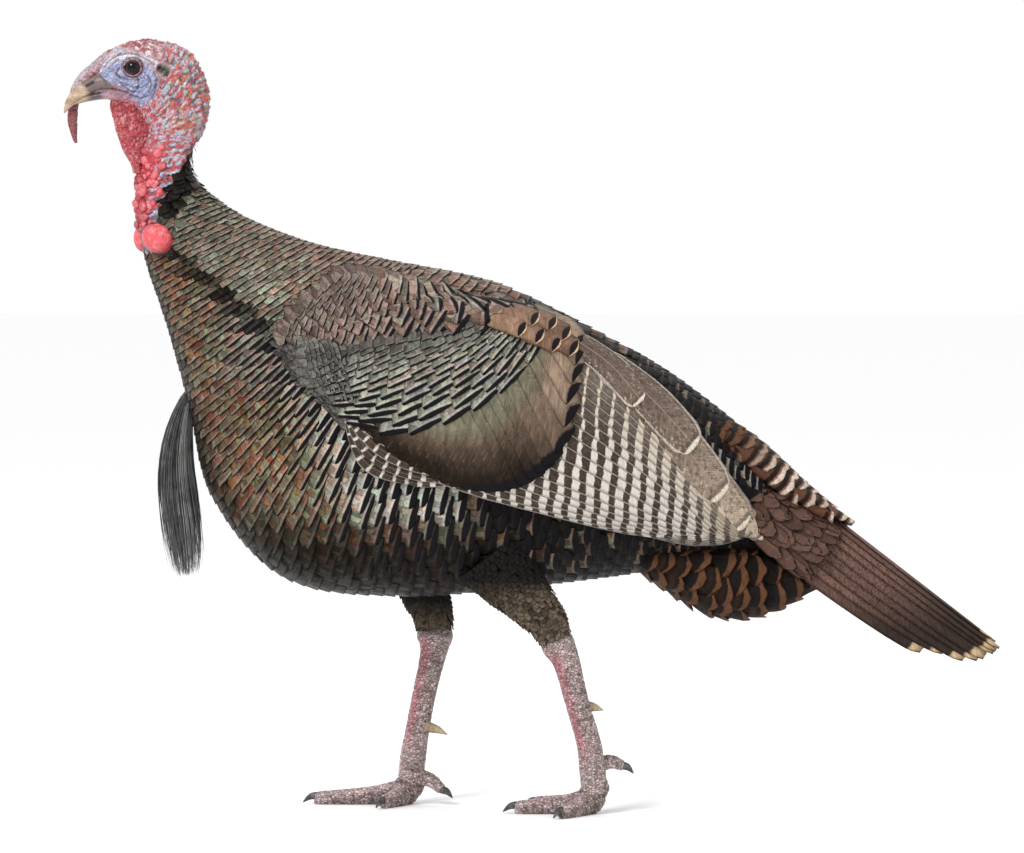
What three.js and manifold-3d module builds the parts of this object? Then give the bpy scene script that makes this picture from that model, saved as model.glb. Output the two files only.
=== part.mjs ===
// A life-size adult male wild turkey, walking, as a still museum model.
//
// Millimetres, +Z up. The bird faces -X and its left side is towards -Y. The origin is on the floor, under the middle
// of its length and width. Head, neck and trunk are one tube of rings, parted by thin cuts. The wings are pads that lie
// on the trunk's sides, and the tail is an arched fan, folded. Every outline is taken to the feathers' tips.

import * as THREE from "three";
import { mergeVertices } from "three/addons/utils/BufferGeometryUtils.js";
import Module from "manifold-3d";

const wasm = await Module();
wasm.setup();

// ---------------------------------------------------------------- driving sizes

const GAP = 0.3; // left between neighbouring pieces
const FAR = 900; // further than any point of the bird

// Rings of the body tube, from the bill's root to the tail's root. Each is a plane across the body, given by its back
// point and its belly point in side view, as [x, z], and its half width.
const RINGS = [
  { name: "bill root", back: [-430, 748], belly: [-426, 713], half: 12 },
  { name: "forehead", back: [-417, 765], belly: [-415, 708], half: 18 },
  { name: "eye", back: [-400, 771], belly: [-402, 705], half: 23 },
  { name: "crown", back: [-381, 773], belly: [-393, 700], half: 26 },
  { name: "ear", back: [-359, 768], belly: [-387, 694], half: 27 },
  { name: "occiput", back: [-339, 754], belly: [-383, 687], half: 27 },
  { name: "nape", back: [-325, 726], belly: [-381, 679], half: 26 },
  { name: "upper nape", back: [-323, 700], belly: [-382, 670], half: 24.5 },
  { name: "throat", back: [-330, 676], belly: [-385, 661], half: 23.5 },
  { name: "upper neck", back: [-341, 650], belly: [-389, 644], half: 23.5 },
  { name: "mid neck", back: [-330, 624], belly: [-394, 606], half: 29 },
  { name: "lower neck", back: [-290, 596], belly: [-387, 552], half: 46 },
  { name: "neck base", back: [-222, 569], belly: [-366, 487], half: 72 },
  { name: "shoulder", back: [-142, 551], belly: [-344, 407], half: 98 },
  { name: "breast", back: [-77, 539], belly: [-320, 312], half: 112 },
  { name: "keel", back: [-27, 526], belly: [-247, 231], half: 116 },
  { name: "belly", back: [18, 505], belly: [-132, 213], half: 113 },
  { name: "loin", back: [78, 474], belly: [-12, 222], half: 103 },
  { name: "vent", back: [138, 439], belly: [88, 234], half: 86 },
  { name: "rump", back: [203, 390], belly: [168, 247], half: 60 },
  { name: "tail root", back: [268, 330], belly: [233, 256], half: 34 },
];
const WIDEST_AT = 0.47; // how far down from the back each ring is widest, as a share of its height
const RING_POWER = 2.15; // a superellipse's power: 2 is an ellipse, more is squarer
const LAST_RING = RINGS.length - 1;
const CUT = 0.012; // the thin cuts between the body's lengths, as a share of a ring's spacing
const HEAD_END = 9; // where the head ends and the neck starts, counted in rings
const NECK_END = 12.4; // where the neck ends and the trunk starts
const BODY = {
  head: { from: 0, to: HEAD_END, around: 20, perRing: 1.8 },
  neck: { from: HEAD_END + CUT, to: NECK_END, around: 20, perRing: 2.5 },
  trunk: { from: NECK_END + CUT, to: LAST_RING, around: 24, perRing: 2.2 },
};

const EYE = { x: -398, y: 17.5, z: 743, radius: 9.4, segments: 12 };

// The bill, snood, dewlap and beard are tapered tubes: a path in side view or in space, with half sizes along it.
const BILL_UPPER = {
  path: [[-420, 0, 729], [-436, 0, 726], [-450, 0, 718.5], [-461, 0, 709], [-466, 0, 700]],
  depth: [9.5, 9.2, 6.6, 4.2, 0.8],
  breadth: [12.5, 10.5, 7.5, 4, 0.8],
  sides: 10,
  steps: 7,
};
const BILL_LOWER = {
  path: [[-404, 0, 713], [-425, 0, 715], [-443, 0, 711.5], [-458, 0, 705.5]],
  depth: [5.5, 4.6, 3.2, 1.2],
  breadth: [12, 10, 7, 2.5],
  sides: 10,
  steps: 5,
};
// It starts on the forehead, lies along the bill's ridge, crosses to the right side and hangs below it.
const SNOOD = {
  path: [
    [-411, 0, 761], [-428, 2, 751], [-441.5, 4, 739], [-453, 7, 724], [-458, 10, 706], [-459, 10.5, 685], [-456, 10, 667],
  ],
  depth: [6, 6, 5.5, 5, 4.8, 4, 0.8],
  breadth: [8, 6.5, 5.5, 4.2, 4.5, 3.6, 0.8],
  sides: 7,
  steps: 10,
};
const DEWLAP = {
  path: [[-404.5, 0, 707], [-399, 0, 694], [-397, 0, 680], [-396, 0, 664], [-393, 0, 648], [-392.5, 0, 637]],
  depth: [16.5, 17, 15, 10, 5, 4],
  breadth: [5, 4.5, 4.5, 5, 6, 7],
  sides: 8,
  steps: 7,
};
// Rows of red lumps wrap the front of the neck and end in two large lobes.
const CARUNCLES = {
  path: [[-382, 0, 641], [-384, 0, 620], [-385, 0, 600], [-383, 0, 584]],
  depth: Array.from({ length: 9 }, (_, i) => (i % 2 ? 14 : 11.5)),
  breadth: Array.from({ length: 9 }, (_, i) => 17 + 0.6 * i + (i % 2 ? 2.5 : 0)),
  sides: 10,
  steps: 8,
};
const LOBES = {
  left: { centre: [-375, -19, 572], radii: [15.5, 12, 13.5] },
  right: { centre: [-386, 11, 573], radii: [14, 12, 14] },
};
const LOBE_PITCH = 0.35;
const BEARD = {
  path: [
    [-339, 0, 424], [-346, 0, 408], [-353, 0, 380], [-356, 0, 350], [-355, 0, 320], [-351.5, 0, 290], [-348.5, 0, 264],
    [-346, 0, 242], [-345.5, 0, 232],
  ],
  depth: [5, 9, 14, 18, 19.5, 20, 17, 9, 1.5],
  breadth: [6, 8, 11, 13, 14, 14, 11, 7, 1.5],
  sides: 8,
  steps: 12,
};

// The folded wing in side view: its shoulder and tip, its edges as heights above that line and its depth, along it.
const WING = {
  shoulder: [-244, 466],
  tip: [238, 276],
  upper: [0, 88, 119, 116, 82, 0],
  lower: [0, -66, -80, -60, -38, 0],
  depth: [8, 19, 22, 20, 14, 7],
  edge: 2.5, // thickness at the rim
  sunk: 3, // how far it is carried into the trunk before the trunk is cut from it
  steps: 11,
  rows: 7,
  blunt: 0.02, // share left off at each end, so that the ends are not points
};

// The folded tail is an arch, high in the middle, with the outer feathers lower at the sides.
const TAIL = {
  root: [226, 354], // the ridge's ends in side view
  tip: [466.7, 168],
  height: [64, 68, 67, 61, 25],
  half: [38, 48, 55, 57, 48],
  wall: 14,
  steps: 5,
  around: 10,
};
const COVERTS_UPPER = {
  path: [[170, 0, 384], [214, 0, 353], [262, 0, 317], [300, 0, 295], [326, 0, 285]],
  depth: [22, 24, 18, 10, 2],
  breadth: [50, 50, 44, 34, 14],
  sides: 14,
  steps: 6,
};
const COVERTS_UNDER = {
  path: [[90, 0, 262], [150, 0, 240], [200, 0, 222], [246, 0, 222], [300, 0, 232]],
  depth: [8, 24, 33, 26, 4],
  breadth: [40, 56, 50, 38, 14],
  sides: 14,
  steps: 6,
};

// Legs, in side view as [x, z]. Each toe ends at x and turns outwards or inwards from the middle one, in degrees.
const FOOT_SPREAD = 45; // the feet, either side of the middle
const HIP_SPREAD = 58;
const HIP_HEIGHT = 262;
const LEGS = {
  left: {
    side: -1,
    thigh: [[-40, 262], [-15, 232], [1.5, 212], [18, 192], [26, 171]],
    thighDepth: [38, 29, 23.5, 19.5, 15.5],
    shank: [[26, 171], [34, 152], [44.5, 112], [56, 72], [60, 44], [62, 24]],
    split: 66, // the height where the shank ends and the foot starts
    pad: [58, 14.5],
    heel: [68, 26],
    toes: { 2: { x: 6, turn: 38 }, 3: { x: -12, turn: 0 }, 4: { x: 30, turn: 58 } },
    hallux: [[60, 46], [77, 51], [90, 47]],
    halluxTip: [101, 39],
    spur: [[50, 112], [61, 110], [70, 106]],
  },
  right: {
    side: 1,
    thigh: [[-122, 262], [-111, 232], [-104, 212], [-98, 192], [-98, 171]],
    thighDepth: [38, 28, 22.5, 20.5, 18],
    shank: [[-98, 171], [-99.5, 152], [-108.5, 112], [-116, 72], [-120, 48], [-123, 22]],
    split: 44,
    pad: [-127, 14.5],
    heel: [-117, 20],
    toes: { 2: { x: -148, turn: 62 }, 3: { x: -214, turn: 0 }, 4: { x: -172, turn: 40 } },
    hallux: [[-118, 30], [-102, 25], [-91, 16]],
    halluxTip: [-80, 8],
    spur: [[-108, 85], [-96, 83], [-86, 79]],
  },
};
const SHANK_DEPTH = [15.5, 12.9, 11.4, 11.6, 12.5, 14];
const SHANK_BREADTH = [13, 11, 9.5, 9.5, 10.5, 12];
const PAD_RADII = [15, 13, 17];
const HEEL_RADII = [8.5, 9, 12];
const TOE_HEIGHTS = [15, 8.5, 6.5, 6]; // of the toe's middle line, from the pad to the claw
const TOE_DEPTH = [11, 10, 8.6, 7];
const TOE_BREADTH = [9, 8.4, 7.4, 5.6];
const CLAW_LENGTH = 17;
const CLAW_ROOT = 4; // how far a claw reaches back into its toe

// ---------------------------------------------------------------- curves and solids

function lerp(a, b, share) {
  return a + (b - a) * share;
}

// A smooth curve through evenly spaced values, with t from 0 to values.length - 1.
function smooth(values, t) {
  const last = values.length - 1;
  const i = Math.min(last - 1, Math.max(0, Math.floor(t)));
  const f = t - i;
  const [a, b, c, d] = [i - 1, i, i + 1, i + 2].map((k) => values[Math.min(last, Math.max(0, k))]);
  return 0.5 * (2 * b + (c - a) * f + (2 * a - 5 * b + 4 * c - d) * f ** 2 + (3 * b - a - 3 * c + d) * f ** 3);
}

function along(values, share) {
  return smooth(values, share * (values.length - 1));
}

function solidFrom(geometry) {
  const bare = new THREE.BufferGeometry();
  bare.setAttribute("position", geometry.getAttribute("position"));
  bare.setIndex(geometry.index);
  const merged = mergeVertices(bare, 1e-4);
  return new wasm.Manifold(
    new wasm.Mesh({
      numProp: 3,
      vertProperties: new Float32Array(merged.getAttribute("position").array),
      triVerts: new Uint32Array(merged.index.array),
    }),
  );
}

// A closed solid through rings of points, each ring with the same count and its ends closed to their middles.
function loft(rings) {
  const count = rings[0].length;
  const positions = rings.flat();
  const faces = [];
  for (let r = 0; r < rings.length - 1; r++)
    for (let k = 0; k < count; k++) {
      const a = r * count + k;
      const b = r * count + ((k + 1) % count);
      faces.push([a, b, b + count], [a, b + count, a + count]);
    }
  for (const r of [0, rings.length - 1]) {
    const middle = rings[r].reduce((sum, p) => sum.add(p), new THREE.Vector3()).divideScalar(count);
    const m = positions.push(middle) - 1;
    for (let k = 0; k < count; k++) {
      const a = r * count + k;
      const b = r * count + ((k + 1) % count);
      faces.push(r === 0 ? [m, b, a] : [m, a, b]);
    }
  }
  const geometry = new THREE.BufferGeometry().setFromPoints(positions);
  geometry.setIndex(faces.flat());
  const made = solidFrom(geometry);
  if (made.volume() > 0) return made;
  geometry.setIndex(faces.map(([a, b, c]) => [a, c, b]).flat());
  return solidFrom(geometry);
}

// A tapered tube along a path in space. depth is its half size in side view and breadth its half size across that.
function limb({ path, depth, breadth, sides = 8, steps = 8 }, grow = 0) {
  const at = (share) => new THREE.Vector3(...[0, 1, 2].map((k) => along(path.map((p) => p[k]), share)));
  const nearby = 0.01;
  const rings = [];
  for (let i = 0; i <= steps; i++) {
    const share = i / steps;
    const ahead = at(Math.min(1, share + nearby)).sub(at(Math.max(0, share - nearby))).normalize();
    const upright = new THREE.Vector3(-ahead.z, 0, ahead.x).normalize();
    const breadthways = new THREE.Vector3().crossVectors(ahead, upright).normalize();
    upright.crossVectors(breadthways, ahead);
    const centre = at(share).addScaledVector(ahead, i === 0 ? -grow : i === steps ? grow : 0);
    const ring = [];
    for (let k = 0; k < sides; k++) {
      const turn = (2 * Math.PI * k) / sides;
      const point = centre.clone().addScaledVector(upright, (along(depth, share) + grow) * Math.cos(turn));
      ring.push(point.addScaledVector(breadthways, (along(breadth, share) + grow) * Math.sin(turn)));
    }
    rings.push(ring);
  }
  return loft(rings);
}

function ellipsoid([x, y, z], radii, grow = 0, segments = 12, pitch = 0) {
  const geometry = new THREE.SphereGeometry(1, segments, Math.round(segments * 0.7));
  geometry.scale(...radii.map((r) => r + grow)).rotateY(pitch).translate(x, y, z);
  return solidFrom(geometry);
}

function slab(from, to) {
  const geometry = new THREE.BoxGeometry(2 * FAR, 2 * FAR, to - from);
  geometry.translate(0, 0, (from + to) / 2);
  return solidFrom(geometry);
}

function join(...solids) {
  return solids.reduce((sum, next) => sum.add(next));
}

// What is left of a solid once others are cut from it, without the slivers that a cut leaves behind.
function cut(solid, ...others) {
  const left = others.reduce((rest, other) => rest.subtract(other), solid);
  return left.decompose().reduce((most, piece) => (piece.volume() > most.volume() ? piece : most));
}

// ---------------------------------------------------------------- the body tube: head, neck and trunk

function ringAt(u) {
  const value = (pick) => smooth(RINGS.map(pick), u);
  const back = new THREE.Vector3(value((r) => r.back[0]), 0, value((r) => r.back[1]));
  const belly = new THREE.Vector3(value((r) => r.belly[0]), 0, value((r) => r.belly[1]));
  const height = back.distanceTo(belly);
  const up = back.clone().sub(belly).divideScalar(height);
  const centre = back.clone().addScaledVector(up, -height * WIDEST_AT);
  return { up, centre, above: height * WIDEST_AT, below: height * (1 - WIDEST_AT), half: value((r) => r.half) };
}

// A point on the tube. turn is 0 at the back and positive towards +Y; swell moves the point outwards.
function tubePoint(u, turn, swell) {
  const { up, centre, above, below, half } = ringAt(u);
  const rounded = (v) => Math.sign(v) * Math.abs(v) ** (2 / RING_POWER);
  const [upwards, sideways] = [rounded(Math.cos(turn)), rounded(Math.sin(turn))];
  const point = centre.addScaledVector(up, upwards * ((upwards > 0 ? above : below) + swell));
  point.y = sideways * (half + swell);
  return point;
}

// The ring and turn of the tube's point that side view shows at x, z.
function onTube(x, z) {
  let [near, far] = [BODY.trunk.from - 1, LAST_RING];
  const place = new THREE.Vector3(x, 0, z);
  const tries = 30;
  for (let i = 0; i < tries; i++) {
    const u = (near + far) / 2;
    const { up, centre } = ringAt(u);
    const from = place.clone().sub(centre);
    if (up.z * from.x - up.x * from.z > 0) near = u;
    else far = u;
  }
  const { up, centre, above, below } = ringAt(near);
  const height = place.sub(centre).dot(up);
  const share = Math.min(1, Math.max(-1, height / (height > 0 ? above : below)));
  return { u: near, turn: Math.acos(Math.sign(share) * Math.abs(share) ** (RING_POWER / 2)) };
}

function tube({ from, to, around, perRing }, swell = 0) {
  const steps = Math.round((to - from) * perRing);
  const rings = [];
  for (let i = 0; i <= steps; i++) {
    const u = lerp(from, to, i / steps);
    rings.push(Array.from({ length: around }, (_, k) => tubePoint(u, (2 * Math.PI * k) / around, swell)));
  }
  return loft(rings);
}

const [headTube, neck, trunk] = Object.values(BODY).map((length) => tube(length));
// The cutters run on past the thin cuts, so that what they cut has no fins there.
const [headCutter, neckCutter, trunkCutter] = Object.values(BODY).map((length) =>
  tube({ ...length, to: Math.min(LAST_RING, length.to + 2 * CUT) }, GAP),
);
const bodyCutter = join(headCutter, neckCutter, trunkCutter);

// ---------------------------------------------------------------- head: eyes, bill and fleshy parts

const eyes = {};
let head = headTube;
for (const [name, side] of [["left", -1], ["right", 1]]) {
  const eye = (grow, segments) => ellipsoid([EYE.x, side * EYE.y, EYE.z], Array(3).fill(EYE.radius), grow, segments);
  eyes[name] = eye(0, EYE.segments);
  head = cut(head, eye(GAP, EYE.segments));
}

const upperBill = cut(limb(BILL_UPPER), headCutter);
const lowerBill = cut(limb(BILL_LOWER), headCutter, limb(BILL_UPPER, GAP));
const snood = cut(limb(SNOOD), headCutter, limb(BILL_UPPER, GAP), limb(BILL_LOWER, GAP));

const lobeAt = ({ centre, radii }, grow) => ellipsoid(centre, radii, grow, 11, LOBE_PITCH);
const lobeLeft = cut(lobeAt(LOBES.left, 0), bodyCutter);
const lobeRight = cut(lobeAt(LOBES.right, 0), bodyCutter, lobeAt(LOBES.left, GAP));
const caruncles = cut(limb(CARUNCLES), bodyCutter, lobeAt(LOBES.left, GAP), lobeAt(LOBES.right, GAP));
const dewlap = cut(limb(DEWLAP), bodyCutter, limb(BILL_LOWER, GAP), limb(CARUNCLES, GAP));
const beard = cut(limb(BEARD), trunkCutter, neckCutter);

// ---------------------------------------------------------------- wings

function wing(side, grow = 0) {
  const [[x0, z0], [x1, z1]] = [WING.shoulder, WING.tip];
  const length = Math.hypot(x1 - x0, z1 - z0);
  const [runX, runZ] = [(x1 - x0) / length, (z1 - z0) / length];
  const rings = [];
  for (let i = 0; i <= WING.steps; i++) {
    const share = lerp(WING.blunt, 1 - WING.blunt, i / WING.steps);
    const [top, bottom] = [along(WING.upper, share) + grow, along(WING.lower, share) - grow];
    const row = [];
    for (let k = 0; k <= WING.rows; k++) {
      const height = lerp(bottom, top, k / WING.rows);
      const { u, turn } = onTube(x0 + runX * share * length - runZ * height, z0 + runZ * share * length + runX * height);
      const bulge = Math.sqrt(1 - Math.abs((2 * k) / WING.rows - 1) ** 3);
      row.push({ u, turn: side * turn, depth: lerp(WING.edge, along(WING.depth, share), bulge) + grow });
    }
    const inner = row.toReversed().map(({ u, turn }) => tubePoint(u, turn, -WING.sunk));
    rings.push([...row.map(({ u, turn, depth }) => tubePoint(u, turn, depth)), ...inner]);
  }
  return loft(rings);
}

const wingLeft = cut(wing(-1), trunkCutter);
const wingRight = cut(wing(1), trunkCutter);
const wingCutters = [wing(-1, GAP), wing(1, GAP)];

// ---------------------------------------------------------------- tail

function tailArch(grow, past) {
  const [[x0, z0], [x1, z1]] = [TAIL.root, TAIL.tip];
  const ahead = new THREE.Vector3(x1 - x0, 0, z1 - z0).normalize();
  const up = new THREE.Vector3(-ahead.z, 0, ahead.x);
  const rings = [];
  for (let i = 0; i <= TAIL.steps; i++) {
    const share = i / TAIL.steps;
    const half = along(TAIL.half, share) + grow;
    const height = along(TAIL.height, share) + (past > 0 ? 0 : grow);
    const ridge = new THREE.Vector3(lerp(x0, x1, share), 0, lerp(z0, z1, share)).addScaledVector(up, grow);
    if (i === 0) ridge.addScaledVector(ahead, -past);
    if (i === TAIL.steps) ridge.addScaledVector(ahead, past);
    const ring = [];
    for (let k = 0; k <= TAIL.around; k++) {
      const turn = lerp(-Math.PI / 2, Math.PI / 2, k / TAIL.around);
      const point = ridge.clone().addScaledVector(up, -height * (1 - Math.cos(turn)));
      point.y = half * Math.sin(turn);
      ring.push(point);
    }
    // Two points below close the arch's foot, and carry the hollow clear through it.
    for (const side of [1, -1]) ring.push(ridge.clone().addScaledVector(up, -height - 4 - 2 * past).setY(side * half * 0.9));
    rings.push(ring);
  }
  return loft(rings);
}

const tailCutter = tailArch(GAP, 0);
const tail = cut(tailArch(0, 0), tailArch(-TAIL.wall, TAIL.wall), trunkCutter, ...wingCutters);
const upperCoverts = cut(limb(COVERTS_UPPER), trunkCutter, tailCutter, ...wingCutters);
const underCoverts = cut(limb(COVERTS_UNDER), trunkCutter, tailCutter, ...wingCutters);

// ---------------------------------------------------------------- legs

function buildLeg(leg) {
  const footY = leg.side * FOOT_SPREAD;
  const spread = (z) => leg.side * lerp(FOOT_SPREAD, HIP_SPREAD, z / HIP_HEIGHT);
  const stand = (places) => places.map(([x, z]) => [x, spread(z), z]);
  const made = {};

  const thighBreadth = leg.thighDepth.map((depth) => 0.8 * depth);
  const thigh = { path: stand(leg.thigh), depth: leg.thighDepth, breadth: thighBreadth, sides: 12, steps: 6 };
  made.thigh = cut(limb(thigh), trunkCutter, ...wingCutters);
  const shank = { path: stand(leg.shank), depth: SHANK_DEPTH, breadth: SHANK_BREADTH, sides: 8, steps: 7 };
  made.shank = cut(limb(shank), limb(thigh, GAP), trunkCutter, slab(-FAR, leg.split + GAP));

  // Each toe and its claw are tubes from the pad outwards; toe 2 is on the inner side and toe 4 on the outer side.
  const toes = [];
  const claws = {};
  const outwards = { 2: -leg.side, 3: 0, 4: leg.side };
  for (const [number, toe] of Object.entries(leg.toes)) {
    const turn = THREE.MathUtils.degToRad(toe.turn);
    const reach = (leg.pad[0] - toe.x) / Math.cos(turn);
    const point = (distance, z) => [
      leg.pad[0] - distance * Math.cos(turn),
      footY + outwards[number] * distance * Math.sin(turn),
      z,
    ];
    const path = TOE_HEIGHTS.map((z, i) => point((reach * i) / (TOE_HEIGHTS.length - 1), z));
    toes.push({ path, depth: TOE_DEPTH, breadth: TOE_BREADTH, sides: 6, steps: 4 });
    claws[number] = [point(reach - CLAW_ROOT, 8.5), point(reach + CLAW_LENGTH / 2, 8), point(reach + CLAW_LENGTH, 2.2)];
  }
  const inwards = (i) => footY - leg.side * (6 + 3 * i);
  const hallux = leg.hallux.map(([x, z], i) => [x, inwards(i), z]);
  toes.push({ path: hallux, depth: [8, 6.6, 5.2], breadth: [7, 6, 5], sides: 6, steps: 3 });
  const [root, tip] = [hallux[2], [leg.halluxTip[0], inwards(3), leg.halluxTip[1]]];
  claws[1] = [root, root.map((value, k) => lerp(value, tip[k], 0.5) + (k === 2 ? 2 : 0)), tip];

  const pads = [
    ellipsoid([leg.pad[0], footY, leg.pad[1]], PAD_RADII, 0, 7),
    ellipsoid([leg.heel[0], footY, leg.heel[1]], HEEL_RADII, 0, 7),
    limb(shank).intersect(slab(0, leg.split)),
    ...toes.map((toe) => limb(toe)),
  ];
  const claw = (path, grow) => limb({ path, depth: [4.2, 3.4, 0.8], breadth: [3.5, 2.7, 0.7], sides: 5, steps: 3 }, grow);
  made.foot = cut(join(...pads), slab(-FAR, 0), ...Object.values(claws).map((path) => claw(path, GAP)));
  for (const [number, path] of Object.entries(claws)) made[`claw_${number}`] = cut(claw(path, 0), slab(-FAR, 0));

  // The spur is a cone on the inner side of the shank's back.
  const spur = leg.spur.map(([x, z], i) => [x, spread(z) - leg.side * (4 + 2.5 * i), z]);
  made.spur = cut(limb({ path: spur, depth: [6, 4.2, 0.8], breadth: [5, 3.6, 0.8], sides: 6, steps: 3 }), limb(shank, GAP));
  return made;
}

// ---------------------------------------------------------------- the model

const FINISHES = {
  skin: [0xb98a92, 0.6],
  flesh: [0xc63345, 0.45],
  horn: [0xb59a6c, 0.4],
  claw: [0x35353a, 0.4],
  eye: [0x1a0f0a, 0.08],
  plumage: [0x4a3d2c, 0.5],
  wing: [0x6e5b47, 0.5],
  tail: [0x5b3a29, 0.6],
  beard: [0x2b2b2d, 0.7],
  scales: [0x8f6f70, 0.5],
};
const materials = Object.fromEntries(
  Object.entries(FINISHES).map(([name, [color, roughness]]) => [
    name,
    new THREE.MeshStandardMaterial({ name, color, roughness, metalness: 0 }),
  ]),
);

const turkey = new THREE.Group();

function add(name, solid, finish) {
  const { vertProperties, triVerts } = solid.getMesh();
  const geometry = new THREE.BufferGeometry();
  geometry.setAttribute("position", new THREE.BufferAttribute(vertProperties, 3));
  geometry.setIndex(new THREE.BufferAttribute(triVerts, 1));
  geometry.computeVertexNormals();
  const mesh = new THREE.Mesh(geometry, materials[finish]);
  mesh.name = name;
  turkey.add(mesh);
}

add("head", head, "skin");
add("neck", neck, "plumage");
add("trunk", trunk, "plumage");
add("eye_left", eyes.left, "eye");
add("eye_right", eyes.right, "eye");
add("bill_upper", upperBill, "horn");
add("bill_lower", lowerBill, "horn");
add("snood", snood, "flesh");
add("dewlap", dewlap, "flesh");
add("caruncles", caruncles, "flesh");
add("caruncle_lobe_left", lobeLeft, "flesh");
add("caruncle_lobe_right", lobeRight, "flesh");
add("beard", beard, "beard");
add("wing_left", wingLeft, "wing");
add("wing_right", wingRight, "wing");
add("tail", tail, "tail");
add("tail_coverts_upper", upperCoverts, "tail");
add("tail_coverts_under", underCoverts, "tail");
const legFinish = { thigh: "plumage", shank: "scales", foot: "scales", spur: "horn" };
for (const [side, leg] of Object.entries(LEGS))
  for (const [piece, solid] of Object.entries(buildLeg(leg))) add(`${piece}_${side}`, solid, legFinish[piece] ?? "claw");

export default turkey;
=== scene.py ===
# A life-size adult male wild turkey in mid-stride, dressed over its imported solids. Millimetres inside the
# making code, turned to metres as each mesh is made. The bird faces -X, its left side -Y.

import math

import bpy
import numpy as np
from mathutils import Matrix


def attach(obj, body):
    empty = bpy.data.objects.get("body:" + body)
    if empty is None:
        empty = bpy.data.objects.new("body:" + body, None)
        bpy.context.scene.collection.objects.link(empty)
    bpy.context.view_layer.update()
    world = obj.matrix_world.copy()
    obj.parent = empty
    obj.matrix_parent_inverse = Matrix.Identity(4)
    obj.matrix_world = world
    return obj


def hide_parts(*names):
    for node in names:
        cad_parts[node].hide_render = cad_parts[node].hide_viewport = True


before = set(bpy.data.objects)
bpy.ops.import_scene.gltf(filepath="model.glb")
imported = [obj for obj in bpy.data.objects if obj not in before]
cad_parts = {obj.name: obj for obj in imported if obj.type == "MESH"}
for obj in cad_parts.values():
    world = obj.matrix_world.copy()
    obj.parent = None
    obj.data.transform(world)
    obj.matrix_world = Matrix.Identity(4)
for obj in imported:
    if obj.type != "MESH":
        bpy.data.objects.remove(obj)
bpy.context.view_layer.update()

# ---- camera, floor and lights
# A long lens at the height of the bird's back looks along +Y. The floor is a pale, plain sweep, and the light
# is that of a studio: a broad soft lamp above and in front that glints in the eye, weaker ones above and to
# the right, and an even pale surround.

BODY = "root"
LENS_DISTANCE = 6.0
LENS_PITCH = math.radians(2.5)
PICTURE_WIDTH = 1.024  # of the plane through the bird's middle, in metres
SIGHT = (-0.02, 0.0, 0.3838)  # the middle of the picture

camera_data = bpy.data.cameras.new("camera")
camera_data.sensor_width = 36.0
camera_data.lens = camera_data.sensor_width * LENS_DISTANCE / PICTURE_WIDTH
camera_data.clip_end = 50.0
camera = bpy.data.objects.new("camera", camera_data)
camera.location = (
    SIGHT[0],
    SIGHT[1] - LENS_DISTANCE * math.cos(LENS_PITCH),
    SIGHT[2] + LENS_DISTANCE * math.sin(LENS_PITCH),
)
camera.rotation_euler = (math.pi / 2 - LENS_PITCH, 0.0, 0.0)
bpy.context.collection.objects.link(camera)
bpy.context.scene.camera = camera

bpy.ops.mesh.primitive_plane_add(size=40.0)
floor = bpy.context.object
floor.name = "floor"
paper = bpy.data.materials.new("floor_paper")
paper.use_nodes = True
paper.node_tree.nodes["Principled BSDF"].inputs["Base Color"].default_value = (0.97, 0.97, 0.97, 1.0)
paper.node_tree.nodes["Principled BSDF"].inputs["Roughness"].default_value = 0.9
floor.data.materials.append(paper)


def lamp(name, place, aim, size, watts):
    data = bpy.data.lights.new(name, "AREA")
    data.shape = "DISK"
    data.size = size
    data.energy = watts
    made = bpy.data.objects.new(name, data)
    made.location = place
    away = np.subtract(place, aim)
    made.rotation_euler = (math.atan2(math.hypot(away[0], away[1]), away[2]), 0.0,
                           math.atan2(away[0], -away[1]))
    bpy.context.collection.objects.link(made)


lamp("key_lamp", (-1.6, -2.6, 2.6), (0.0, 0.0, 0.4), 1.1, 84.0)
lamp("top_lamp", (0.2, 0.3, 3.2), (0.0, 0.0, 0.4), 2.4, 24.0)
lamp("fill_lamp", (2.4, -2.2, 1.4), (0.0, 0.0, 0.4), 1.8, 8.0)

surround = bpy.data.worlds.new("surround")
surround.use_nodes = True
surround.node_tree.nodes["Background"].inputs["Color"].default_value = (1.0, 1.0, 1.0, 1.0)
surround.node_tree.nodes["Background"].inputs["Strength"].default_value = 1.0
bpy.context.scene.world = surround
bpy.context.scene.view_settings.view_transform = "Standard"

# ---- the skin
# One skin covers head, neck, trunk and legs. It is bare and beaded on the head and the front of the neck,
# hidden under feathers on the body, and in horny scutes on the legs. It lies inside the solids by the depth
# of the coat.

MM = 0.001
LEFT, RIGHT = -1, 1

# Rings across the body from the bill's root to the tail's root: back x and z, belly x and z, half width.
RINGS = np.array([
    [-446, 733, -438, 715, 5], [-420, 760, -417, 708, 17.5], [-400, 768, -402, 705, 23],
    [-381, 770, -393, 700, 26], [-359, 765.5, -387, 694, 27], [-339, 754, -383, 687, 27],
    [-325, 726, -381, 679, 26], [-323, 700, -382, 670, 24.5], [-330, 676, -385, 661, 23.5],
    [-341, 650, -389, 644, 23.5], [-330, 624, -394, 606, 29], [-290, 596, -387, 552, 46],
    [-222, 569, -366, 487, 72], [-142, 551, -344, 407, 98], [-77, 539, -320, 312, 112],
    [-27, 526, -247, 231, 116], [18, 505, -132, 213, 113], [78, 474, -12, 222, 103], [138, 439, 88, 234, 86],
    [203, 390, 168, 247, 60], [268, 330, 233, 256, 34],
], float)
LAST_RING = len(RINGS) - 1
WIDEST_AT = 0.47
RING_POWER = 2.15


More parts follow.
